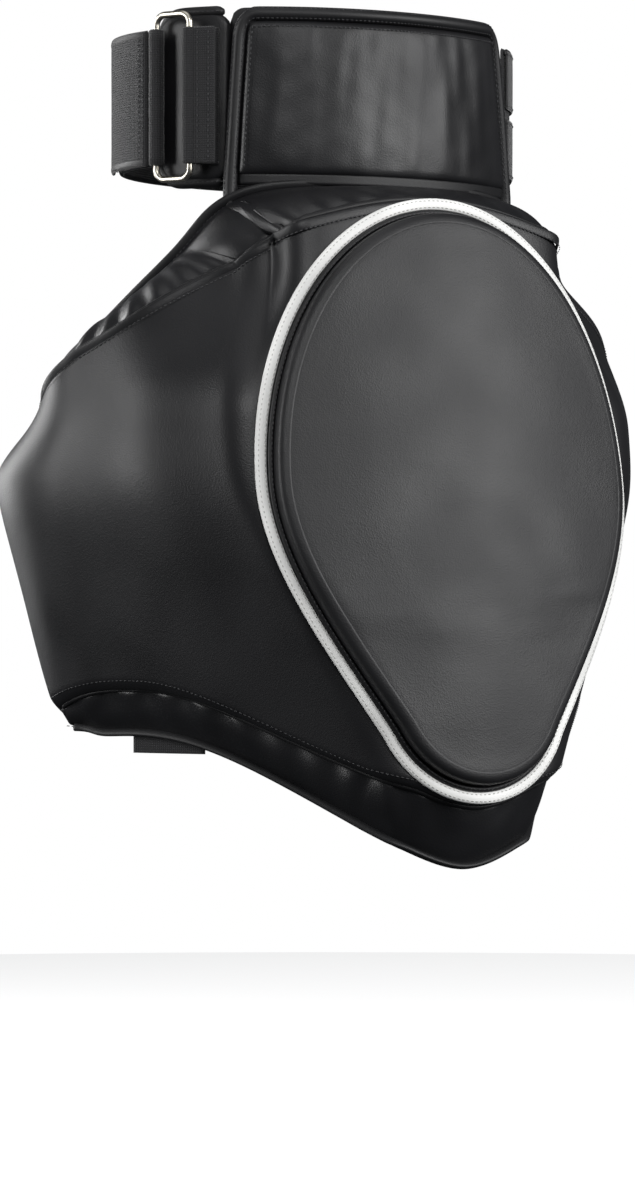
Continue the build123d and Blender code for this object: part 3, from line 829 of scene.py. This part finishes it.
class PROTECTOR_OT_pad_foam(bpy.types.Operator):
    """Makes the foam core inside the main pad"""
    bl_idname = "protector.pad_foam"
    bl_label = "Main pad foam"

    def execute(self, context):
        """Outer surface and lining surface, each drawn in, closed at top, bottom and ends."""
        u = np.linspace(-3.9, 3.9, 140)
        v = np.linspace(0.09, 0.9, 30)
        uu, vv = np.meshgrid(u, v, indexing="ij")
        low, top = low_height(np.abs(uu)), top_height(np.abs(uu))
        outer = pad_surface(uu, low + (top - low) * vv, 5.0)
        inner = inner_point(uu, vv)
        inward = unit(outer - inner)
        inner = inner + inward * 4.0
        sections = np.concatenate([outer, inner[:, ::-1]], 1)
        foam = tube_object("main_pad_foam", sections, "foam")
        on_root(foam, "foam_hard", "impact_foam", "comfort_foam")
        return {"FINISHED"}


class PROTECTOR_OT_pad_covers(bpy.types.Operator):
    """Makes the leather wing covers, gussets and lining of the main pad"""
    bl_idname = "protector.pad_covers"
    bl_label = "Main pad covers"

    def execute(self, context):
        """Grids of the outer surface, the two gussets and the lining, each with a leather wall."""
        for side, word in ((-1, "right"), (1, "left")):
            uu, vv = pad_grid(0.0005, 4.0, 220, 90)
            dent = soft_noise(uu * 1.3, vv * 2.4, 11 + side) * 1.6 * np.sin(np.pi * vv) * ease(uu, 0.9, 2.0)
            dent += soft_noise(uu * 5, vv * 7, 31 + side) * 0.35 * ease(uu, 0.9, 1.6)
            height = low_height(uu) + (top_height(uu) - low_height(uu)) * vv
            outer = pad_surface(side * uu, height, dent)
            # The corner is evened out, so that the leather turns it without a fold.
            for _ in range(60):
                outer[:, 1:-1] = (outer[:, :-2] + 2 * outer[:, 1:-1] + outer[:, 2:]) / 4
            last, before = outer[:, -1], outer[:, -3]
            inside = inner_point(np.full(len(vv), side * 4.0), vv[:, 0])
            heading = unit(last - before)
            t = np.linspace(0, 1, 14)[1:][None, :, None]
            middle, half = (last + inside) / 2, (last - inside) / 2
            reach = np.linalg.norm(half, axis=-1, keepdims=True)
            closing = edge_round(np.minimum(vv[:, :1], 1 - vv[:, :1]), 0.16)
            cap = (middle[:, None] + half[:, None] * np.cos(np.pi * t)
                   + (heading * reach * closing)[:, None] * np.sin(np.pi * t) * 0.9)
            points = np.concatenate([outer, cap], 1)
            piece = grid_object(f"wing_skin_{word}", points, "leather", shade_uv(points), 1.5, flip=side < 0)
            on_root(piece, "leather_black", f"wing_cover_{word}")
        outline = egg_outline(3.0)
        scale = np.linspace(0.02, 1, 24)[:, None, None]
        centre = np.array([0, FACE_TOP - EGG["upper"]])
        points = face_place(centre + (outline[None] - centre) * scale, -0.6)
        ring = np.concatenate([points, points[:, :1]], 1)
        on_root(grid_object("face_base", ring, "leather", None, 1.2), "leather_black", "face_panel")
        columns, rows = 900, 26
        top, uv = gusset_grid(columns, rows, lambda s: pad_surface(s, top_height(np.abs(s)), 1.0), inner_top,
                              5, 3.6, 6.0, 1)
        piece = grid_object("top_gusset_skin", top, "gusset", uv, 1.2)
        on_root(piece, "leather_black", "top_gusset")
        low, uv = gusset_grid(columns, rows, lambda s: pad_surface(s, low_height(np.abs(s)), 1.0), inner_low,
                              8, 4.4, 3.0, -1)
        piece = grid_object("bottom_gusset_skin", low, "gusset", uv, 1.2, flip=True)
        on_root(piece, "leather_black", "bottom_gusset")
        uu, vv = np.meshgrid(np.linspace(-4, 4, 260), np.linspace(0, 1, 70))
        points = inner_point(uu, vv)
        piece = grid_object("lining_skin", points, "lining", shade_uv(points), 1.2, flip=True)
        on_root(piece, "lining", "back_lining")
        return {"FINISHED"}


class PROTECTOR_OT_pad_edges(bpy.types.Operator):
    """Makes the bindings, welts and stitch rows round the main pad"""
    bl_idname = "protector.pad_edges"
    bl_label = "Main pad bindings and seams"

    def execute(self, context):
        """Piping carried along the seams of the outer surface and the edges of the lining."""
        size = context.scene.protector_sizes
        u = np.linspace(-4, 4, 420)
        top = pad_surface(u, top_height(np.abs(u)), -0.2)
        low = pad_surface(u, low_height(np.abs(u)), -0.2)
        out = unit(surface_normal(lambda a, b: wing_point(a, b), u, np.full_like(u, 0.5)))
        up = np.broadcast_to([0, 0, 1.0], out.shape)
        welt = piping("top_welt", top, unit(out + up), 2.3, 2.3, "binding")
        on_root(welt, "leather_black", "top_seam_welt")
        below = pad_surface(u, top_height(np.abs(u)) - 7.5, -0.5)
        near = pad_surface(u, top_height(np.abs(u)) - 4.4, -0.5)
        on_root(piping("top_welt_fold", near, out, 3.4, 0.7, "leather"), "leather_black")
        on_root(stitches("top_seam_stitches", below, out, "thread", size.stitch_pitch), "leather_black")
        lower = piping("lower_welt", low, unit(out - up), 1.7, 1.7, "binding")
        on_root(lower, "leather_black")
        above = pad_surface(u, low_height(np.abs(u)) + 6.0, -0.3)
        on_root(stitches("lower_seam_stitches", above, out, "thread", size.stitch_pitch), "leather_black")
        edge = inner_top(u)
        binding = piping("upper_binding_fold", edge + [0, 0, 1.0], unit(-out + up), 5.5, 3.0, "binding")
        on_root(binding, "binding", "upper_binding")
        row = edge + unit(out + 0.6 * up) * 3.4 - up * 3
        row = stitches("upper_binding_stitches", row, unit(out + up), "thread", size.stitch_pitch)
        on_root(row, "binding")
        edge = inner_low(u)
        binding = piping("lower_binding_fold", edge, unit(out - 0.3 * up), 2.6, 5.6, "binding")
        on_root(binding, "binding", "lower_binding")
        ends = ((pad_surface, top_height, inner_top, "top"), (pad_surface, low_height, inner_low, "low"))
        for surface, seam, inner, word in ends:
            for side, hand in ((-4.0, "right"), (4.0, "left")):
                first, last = surface(np.array([side]), seam(np.array([4.0]))), inner(np.array([side]))
                path = first + (last - first) * np.linspace(0, 1, 12)[:, None]
                facing = np.broadcast_to([0, 1.0, 0.2], path.shape)
                on_root(piping(f"end_fold_{word}_{hand}", path, facing, 2.6, 2.6, "binding"), "binding")
        row = edge + out * 4.2
        on_root(stitches("lower_binding_stitches", row, out, "thread", size.stitch_pitch), "binding")
        return {"FINISHED"}


class PROTECTOR_OT_strike_pad(bpy.types.Operator):
    """Makes the raised strike pad"""
    bl_idname = "protector.strike_pad"
    bl_label = "Strike pad"

    def execute(self, context):
        """Egg outlines drawn in step by step, each with its rise: a steep rim, a round shoulder and
        a slight crown, with soft creases across it, closed by a flat back."""
        size = context.scene.protector_sizes
        rise = size.pad_rise
        start = 11.6
        rim = [0.0, 0.1, 0.0, 0.3, 1.0, 2.2, 4.0, 6.5, 10.0]
        inset = np.concatenate([rim, np.linspace(14, 142, 44) - start])
        height = np.interp(inset, [0, 0.3, 1.0, 2.2, 4.0, 6.5, 10.0, 22, 60, 130],
                           np.array([0.62, 0.70, 0.80, 0.88, 0.94, 0.975, 0.99, 1.0, 1.05, 1.07]) * rise)
        height[:3] = [0.6, 0.35 * rise, 0.5 * rise]
        count = 260
        rings = np.stack([egg_outline(start + min(step, 60.0), count) for step in inset])
        centre = np.array([0.0, FACE_TOP - 200.0])
        shrink = np.clip((inset - 60) / (142 - start - 60), 0, 1)[:, None, None]
        rings = rings + (centre - rings) * shrink * 0.985
        x, z = rings[..., 0], rings[..., 1]
        soft = ease(inset, 1.0, 16.0)[:, None]
        crease = soft_noise(x / 70, z / 16, 21) * 0.9 + soft_noise(x / 30, z / 9, 23) * 0.3
        band = np.exp(-((z + 352) / 26) ** 2) + 0.35
        rises = height[:, None] + soft * (crease * band + 0.8 * soft_noise(x / 45, z / 45, 29))
        points = face_place(rings, 0 * x) + face_normal(rings) * rises[..., None]
        back = face_place(egg_outline(start + 0.5, count), np.full(count, 0.5))[None]
        sections = np.concatenate([back, points], 0)
        pad = tube_object("strike_pad", sections, "strike")
        on_root(pad, "leather_black", "strike_cover", "strike_foam")
        smooth = pad.modifiers.new("smooth", "SUBSURF")
        smooth.levels = smooth.render_levels = 1
        return {"FINISHED"}


class PROTECTOR_OT_band(bpy.types.Operator):
    """Makes the white band round the strike pad, its welt and its stitches"""
    bl_idname = "protector.band"
    bl_label = "White band"

    def execute(self, context):
        """A crowned strip and a round welt carried along the egg outline, with three stitch rows."""
        size = context.scene.protector_sizes
        count = 420
        insets = np.array([0.0, 0.15, 0.9, 2.2, 3.9, 5.6, 6.9, 7.6, 7.8]) * size.trim_width / 8.0
        rises = np.array([0.3, 1.3, 1.9, 2.35, 2.5, 2.35, 1.9, 1.3, 0.3])
        sections = np.stack([face_place(egg_outline(a, count), 0) + face_normal(egg_outline(a, count)) * r
                             for a, r in zip(insets, rises)], 1)
        on_root(tube_object("white_band", sections, "white", closed=True), "leather_white", "white_trim")
        outline = egg_outline(9.7, count)
        path, normal = face_place(outline, 1.6), face_normal(outline)
        on_root(piping("band_welt", path, normal, 2.0, 2.3, "binding", closed=True), "leather_black",
                "trim_welt")
        for label, inset, rise, finish in (("outer", 1.7, 2.15, "white_thread"),
                                           ("inner", 6.1, 2.15, "white_thread"),
                                           ("welt", 9.7, 3.9, "thread")):
            outline = egg_outline(inset, count)
            row = stitches(f"band_stitches_{label}", face_place(outline, rise), face_normal(outline), finish,
                           size.stitch_pitch, closed=True, height=0.45)
            on_root(row, "leather_white" if finish == "white_thread" else "leather_black")
        return {"FINISHED"}


class PROTECTOR_OT_belt_front(bpy.types.Operator):
    """Makes the padded front panel of the belt with its binding and backing"""
    bl_idname = "protector.belt_front"
    bl_label = "Belt front"

    def execute(self, context):
        """Upright strips on the waist ellipse: a puffed panel framed by a rounded binding."""
        size = context.scene.protector_sizes
        low, high = BELT[0][2], BELT[1][2]
        edge = PANEL[1][2]
        panel = belt_strip("belt_front_pad", -46.2, 46.2, -1.2, -7.0, low + 6, edge - 1, "leather", radius=5,
                           puff=2.6, wrinkle=1.5, seed=41, rows=44)
        on_root(narrow_upward(panel), "leather_black", "belt_front_panel")
        foam = belt_strip("belt_foam", -45.5, 45.5, -7.2, -13.4, low + 2, edge - 2, "foam", radius=3)
        on_root(narrow_upward(foam), "foam_soft", "belt_front_foam")
        backing = belt_strip("belt_back", -50, 50, -13.8, -16.8, low, high, "lining", radius=1.2, corner=10)
        on_root(backing, "lining", "belt_backing")
        lower = belt_strip("belt_lower_fold", -46, 46, -2.4, -7.0, low - 1, low + 7.5, "binding", radius=2.2)
        on_root(lower, "leather_black")
        turn = np.linspace(-48.2, 48.2, 200)
        reach = np.clip((48.2 - np.abs(turn)) / 5.0, 0, 1)
        arch = high - 5.6 - 15 * (1 - np.sqrt(1 - (1 - reach) ** 2))
        rise = np.linspace(low - 20, arch[0] - 1, 40)
        left = on_belt(np.full(40, -48.2), -5.0, rise)
        right = on_belt(np.full(40, 48.2), -5.0, rise[::-1])
        path = evenly(np.vstack([left, on_belt(turn, -5.0, arch), right]), 3.0)
        turns = turn_of(path)
        across = belt_outward(turns)
        binding = piping("belt_fold", path, across, 5.0, 6.4, "binding", sides=20)
        on_root(narrow_upward(binding), "binding", "belt_binding")
        forward = along(path)
        inward = unit(np.cross(across, forward))
        for sign in (-1, 1):
            row = path + inward * 3.4 * sign + across * 4.6
            row = stitches(f"belt_stitches_inner_{sign + 1}", row, across, "thread", size.stitch_pitch)
            on_root(narrow_upward(row), "binding")
        for sign in (-1, 1):
            word = "right" if sign < 0 else "left"
            row = upright_row(f"belt_panel_stitches_{word}", sign * 43.6, 1.2, low + 12, edge - 6, "thread",
                              size.stitch_pitch)
            on_root(narrow_upward(row), "leather_black")
        row = level_row("belt_panel_stitches_top", -43, 43, 1.0, edge - 5, "thread", size.stitch_pitch)
        on_root(narrow_upward(row), "leather_black")
        return {"FINISHED"}


class PROTECTOR_OT_ring_end(bpy.types.Operator):
    """Makes the padded guard, the webbing tab and the steel ring"""
    bl_idname = "protector.ring_end"
    bl_label = "Ring end"

    def execute(self, context):
        """A padded guard behind the ring, webbing that turns round its front bar, and the wire itself."""
        size = context.scene.protector_sizes
        low, high = GUARD[0][2], GUARD[1][2]
        guard = belt_strip("ring_guard_pad", -79.4, -49.0, -11.9, -18.5, low + 2, high - 2, "leather",
                           radius=3.3, puff=3.0, wrinkle=0.8, seed=61, corner=14, rows=40)
        on_root(guard, "leather_black", "ring_guard")
        turn = np.concatenate([np.linspace(-52, -74, 30), np.full(30, -79.2), np.linspace(-74, -52, 30)])
        z = np.concatenate([np.full(30, high - 1.5), np.linspace(high - 17, low + 17, 30),
                            np.full(30, low + 1.5)])
        path = evenly(np.column_stack([belt_plan(turn, -14.5), z]), 2.5)
        for _ in range(14):
            path[1:-1] = (path[:-2] + 2 * path[1:-1] + path[2:]) / 4
        turns = turn_of(path)
        binding = piping("ring_guard_fold", path, belt_outward(turns), 4.0, 4.6, "binding", sides=18)
        on_root(binding, "binding")
        row = path + belt_outward(turns) * 4.3
        row = stitches("ring_guard_stitches", row, belt_outward(turns), "thread", size.stitch_pitch)
        on_root(row, "binding")

        tab_low, tab_high = box_mm("ring_tab")[0][2], box_mm("ring_tab")[1][2]
        bar = np.array(JOINTS["ring_swivel"]["pos_m"][:2]) / MM
        out = belt_outward(np.array([-61.0]))[0, :2]
        way = np.array([-out[1], out[0]])
        angle = np.radians(np.linspace(-60, 200, 34))
        turn_back = bar + 4.1 * (out * np.cos(angle)[:, None] + way * np.sin(angle)[:, None])
        tail = belt_path(-52.0, -60.0, -6.3, 2.0)
        front = belt_path(-60.0, -52.0, 0.6, 2.0)[1:]
        path = np.vstack([tail, turn_back[::-1], front])
        path = evenly(np.column_stack([path, np.zeros(len(path))]), 1.6)[:, :2]
        tab = upright_strip("ring_tab_webbing", path, 2.3, tab_low, tab_high, "webbing", radius=1.0)
        on_root(tab, "webbing", "ring_tab")
        for turn in (-57.5, -54.0):
            row = upright_row(f"ring_tab_stitches_{int(-turn)}", turn, 2.0, tab_low + 4, tab_high - 4,
                              "thread", size.stitch_pitch)
            on_root(row, "webbing")
        ring = frame["nodes"]["steel_ring"]
        ring.data.materials.clear()
        ring.data.materials.append(finish_of("steel"))
        return {"FINISHED"}


class PROTECTOR_OT_waist_strap(bpy.types.Operator):
    """Makes the waist strap, its loop tapes, its roll round the ring and its folded-back end"""
    bl_idname = "protector.waist_strap"
    bl_label = "Waist strap"

    def execute(self, context):
        """Upright strips on the waist ellipse, and a webbing sleeve round the ring's rear bar."""
        size = context.scene.protector_sizes
        low, high = STRAP[0][2], STRAP[1][2]
        strap = belt_strip("waist_strap_web", -309.0, -77.6, -5.4, -8.6, low, high, "webbing", radius=1.4,
                           wrinkle=0.5, seed=71)
        on_root(strap, "webbing", "waist_strap")
        for word, height in (("top", high - 3), ("bottom", low + 3)):
            edge = belt_path(-308.6, -78.5, -5.0, 3.0)
            path = np.column_stack([edge, np.full(len(edge), height)])
            normal = np.column_stack([edge, 0 * edge[:, 0]])
            on_root(piping(f"waist_strap_edge_{word}", path, normal, 3.2, 1.4, "binding"), "webbing")
        for word, node in (("upper", "loop_tape_upper"), ("lower", "loop_tape_lower")):
            tape_low, tape_high = box_mm(node)[0][2], box_mm(node)[1][2]
            tape = belt_strip(f"loop_pile_{word}", -308.5, -78.2, -3.3, -5.0, tape_low + 1.5, tape_high - 1.5,
                              "pile", radius=0.8, wrinkle=0.25, seed=73)
            on_root(tape, "loop_pile", node)
            for row_z in (tape_low + 4, tape_high - 4):
                row = level_row(f"loop_stitches_{word}_{int(row_z + 100)}", -308, -116, -3.1, row_z, "thread",
                                size.stitch_pitch * 1.3)
                on_root(row, "webbing")
        bar = np.array(JOINTS["strap_end_peel"]["pos_m"][:2]) / MM
        angle = np.linspace(0, 2 * np.pi, 48, endpoint=False)
        low_z, high_z = ROLL[0][2], ROLL[1][2]
        rounds = []
        for radius, height in ((2.75, low_z + 0.4), (4.2, low_z), (5.3, low_z + 0.8), (5.4, low_z + 6),
                               (5.25, low_z + 30), (5.4, 0.0), (5.25, high_z - 30), (5.4, high_z - 6),
                               (5.3, high_z - 0.8), (4.2, high_z), (2.75, high_z - 0.4)):
            rounds.append(np.column_stack([bar[0] + radius * np.cos(angle), bar[1] + radius * np.sin(angle),
                                           np.full(48, height)]))
        sections = np.stack(rounds)
        arc = np.broadcast_to(angle * 5, sections.shape[:2])
        roll = tube_object("strap_roll_web", sections, "webbing", closed=True,
                           uv=np.stack([arc, sections[..., 2]], -1))
        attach(roll, "ring")
        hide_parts("strap_roll")
        end = belt_strip("strap_end_web", -115.0, -77.5, 1.5, -1.3, TAIL[0][2], TAIL[1][2], "webbing",
                         radius=1.2, wrinkle=0.3, seed=77)
        hook = belt_strip("strap_hook", -114.8, -89.6, -1.8, -2.9, TAIL[0][2] + 2, TAIL[1][2] - 2,
                          "hook", radius=0.5)
        pieces = [(end, "webbing", "strap_end"), (hook, "hook_tape", "hook_patch")]
        for word, height in (("top", TAIL[1][2] - 3), ("bottom", TAIL[0][2] + 3)):
            edge = belt_path(-114.6, -78.0, 0.1, 3.0)
            path = np.column_stack([edge, np.full(len(edge), height)])
            normal = np.column_stack([edge, 0 * edge[:, 0]])
            pieces.append((piping(f"strap_end_edge_{word}", path, normal, 3.0, 1.7, "binding"),
                           "webbing", None))
        for turn in (-79.2, -81.4):
            row = upright_row(f"strap_end_stitches_{int(-turn * 10)}", turn, 1.6, TAIL[0][2] + 6,
                              TAIL[1][2] - 6, "thread", size.stitch_pitch)
            pieces.append((row, "webbing", None))
        for piece, slot, node in pieces:
            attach(piece, "strap_tail")
            if node:
                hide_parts(node)
        return {"FINISHED"}


class PROTECTOR_OT_thigh_straps(bpy.types.Operator):
    """Makes the two thigh straps with their hooks, tabs and anchors"""
    bl_idname = "protector.thigh_straps"
    bl_label = "Thigh straps"

    def execute(self, context):
        """Upright webbing on a plan path: half a circle round the thigh, then a straight leg forward."""
        size = context.scene.protector_sizes
        low, high = THIGH[0][2], THIGH[1][2]
        radius = 72.0
        hinge = np.array(JOINTS["left_thigh_strap_swing"]["pos_m"][:2]) / MM
        centre = hinge - [radius, 0]
        angle = np.linspace(0, np.pi, 120)
        curve = centre + radius * np.stack([np.cos(angle), np.sin(angle)], -1)
        leg = np.column_stack([np.full(60, centre[0] - radius), np.linspace(hinge[1], THIGH[0][1], 60)])
        path = evenly(np.column_stack([np.vstack([curve, leg[1:]]), np.zeros(179)]), 2.5)[:, :2]
        for sign, word in ((1, "left"), (-1, "right")):
            body = f"thigh_band_{word}"
            turned = path * [sign, 1]
            strap = upright_strip(f"thigh_strap_{word}_web", turned, 2.3, low, high, "webbing", radius=1.0,
                                  wrinkle=0.2, seed=81)
            pieces = [(strap, body, "webbing", f"thigh_strap_{word}")]
            for node, finish, slot, where in ((f"thigh_hook_{word}", "hook", "hook_tape", body),
                                              (f"thigh_tab_{word}", "pile", "loop_pile", "root"),
                                              (f"thigh_anchor_{word}", "webbing", "webbing", "root")):
                first, last = box_mm(node)
                middle = (first[0] + last[0]) / 2
                flat = np.column_stack([np.full(40, middle), np.linspace(first[1], last[1], 40)])
                piece = upright_strip(f"{node}_web", flat, (last[0] - first[0]) * 0.96, first[2], last[2],
                                      finish, radius=0.6)
                pieces.append((piece, where, slot, node))
            way = np.stack([np.gradient(turned[:, 0]), np.gradient(turned[:, 1])], -1)
            out = unit(np.column_stack([way[:, 1] * sign, -way[:, 0] * sign, 0 * way[:, 0]]))
            for level in (low + 3.5, high - 3.5):
                line = np.column_stack([turned, np.full(len(turned), level)]) + out * 1.2
                row = stitches(f"thigh_stitches_{word}_{int(-level)}", line[2:-2], out[2:-2], "thread",
                               size.stitch_pitch * 1.4)
                pieces.append((row, body, "webbing", None))
            share = sign * np.linspace(2.62, 2.98, 40)
            hem = inner_low(share)
            hem_path = evenly(np.column_stack([hem[:, :2], 0 * share]), 1.5)[:, :2]
            tail = upright_strip(f"thigh_tail_{word}_web", hem_path, 2.4, hem[:, 2].min() - 7,
                                 hem[:, 2].max() + 2, "webbing", radius=0.9)
            pieces.append((tail, "root", "webbing", None))
            for piece, where, slot, node in pieces:
                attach(piece, where)
                if node:
                    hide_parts(node)
        return {"FINISHED"}


class PROTECTOR_OT_stage(bpy.types.Operator):
    """Makes the pale floor, the soft lights and the camera"""
    bl_idname = "protector.stage"
    bl_label = "Stage"

    def execute(self, context):
        """A round floor, a world that is white to the eye and dim to the object, and area lights."""
        scene = context.scene
        c = scene.protector_colours
        angle = np.linspace(0, 2 * np.pi, 96, endpoint=False)
        disc = np.column_stack([2600 * np.cos(angle), 2600 * np.sin(angle), np.full(96, -800.0)])
        # Matt white studio paint, lit from beneath so that it stays pale while the object stays dark.
        floor_finish, tree, shader, coordinates = new_material(
            "matt_studio_paint", c.floor, 0.9,
            **{"Emission Color": linear(c.floor), "Emission Strength": 0.75})
        FINISHES["floor"] = floor_finish
        floor = make_object("stage_floor", disc, [list(range(96))], "floor", smooth=False)
        floor.visible_diffuse = floor.visible_glossy = False
        world = bpy.data.worlds.new("studio_air")
        scene.world = world
        world.use_nodes = True
        tree = world.node_tree
        tree.nodes.clear()
        dim = add_node(tree, "ShaderNodeBackground", None, {"Color": (0.9, 0.95, 1, 1), "Strength": 0.05})
        white = add_node(tree, "ShaderNodeBackground", None, {"Color": (1, 1, 1, 1), "Strength": 1.0})
        rays = add_node(tree, "ShaderNodeLightPath")
        mix = add_node(tree, "ShaderNodeMixShader", None, None,
                       {0: rays.outputs["Is Camera Ray"], 1: dim.outputs[0], 2: white.outputs[0]})
        add_node(tree, "ShaderNodeOutputWorld", None, None, {"Surface": mix.outputs[0]})
        lights = (
            ("front_softbox", (1.25, -2.0, 0.45), (0.05, 0, -0.25), (1.5, 1.3), 46),
            ("near_softbox", (-0.9, -2.4, 1.1), (0, 0, -0.2), (1.0, 1.0), 24),
            ("left_strip", (-2.0, 0.25, 0.15), (0, 0, -0.3), (0.45, 1.7), 24),
            ("rear_rim", (-0.9, 1.6, 0.2), (-0.1, 0, -0.3), (0.7, 1.6), 26),
            ("top_fill", (-0.2, -0.3, 1.7), (0, 0, 0), (1.4, 1.4), 7),
        )
        for name, place, target, extent, power in lights:
            lamp = bpy.data.lights.new(name, "AREA")
            lamp.shape, lamp.size, lamp.size_y, lamp.energy = "RECTANGLE", *extent, power
            holder = bpy.data.objects.new(name, lamp)
            holder.location = place
            holder.rotation_euler = (Vector(target) - Vector(place)).to_track_quat("-Z", "Y").to_euler()
            scene.collection.objects.link(holder)
        camera = bpy.data.cameras.new("front_left")
        camera.sensor_fit, camera.sensor_height, camera.lens = "VERTICAL", 36, 128.6
        holder = bpy.data.objects.new("front_left", camera)
        holder.location = (-1.5, -2.598, -0.340)
        holder.rotation_euler = Vector((0.5, 0.866, 0)).to_track_quat("-Z", "Y").to_euler()
        scene.collection.objects.link(holder)
        scene.camera = holder
        scene.view_settings.view_transform = "Standard"
        return {"FINISHED"}


class PROTECTOR_PT_panel(bpy.types.Panel):
    """Lists the operators that make the protector"""
    bl_idname = "PROTECTOR_PT_panel"
    bl_label = "Groin and thigh protector"
    bl_space_type = "VIEW_3D"
    bl_region_type = "UI"
    bl_category = "Protector"

    def draw(self, context):
        """Sizes, colours and one button for each operator."""
        for group in (context.scene.protector_sizes, context.scene.protector_colours):
            for name in group.__annotations__:
                self.layout.prop(group, name)
        for operator in OPERATORS:
            self.layout.operator(operator.bl_idname)


OPERATORS = (PROTECTOR_OT_pad_foam, PROTECTOR_OT_pad_covers, PROTECTOR_OT_pad_edges, PROTECTOR_OT_strike_pad,
             PROTECTOR_OT_band, PROTECTOR_OT_belt_front, PROTECTOR_OT_ring_end, PROTECTOR_OT_waist_strap,
             PROTECTOR_OT_thigh_straps, PROTECTOR_OT_stage)
CLASSES = (ProtectorSizes, ProtectorColours, *OPERATORS, PROTECTOR_PT_panel)


def register():
    """Registers the classes and hangs the sizes and colours on the scene."""
    for kind in CLASSES:
        bpy.utils.register_class(kind)
    bpy.types.Scene.protector_sizes = bpy.props.PointerProperty(type=ProtectorSizes)
    bpy.types.Scene.protector_colours = bpy.props.PointerProperty(type=ProtectorColours)


def unregister():
    """Takes the sizes, the colours and the classes away again."""
    del bpy.types.Scene.protector_colours
    del bpy.types.Scene.protector_sizes
    for kind in reversed(CLASSES):
        bpy.utils.unregister_class(kind)


def main():
    """Makes every piece in order."""
    register()
    for operator in OPERATORS:
        space, name = operator.bl_idname.split(".")
        getattr(getattr(bpy.ops, space), name)()


if __name__ == "__main__":
    main()
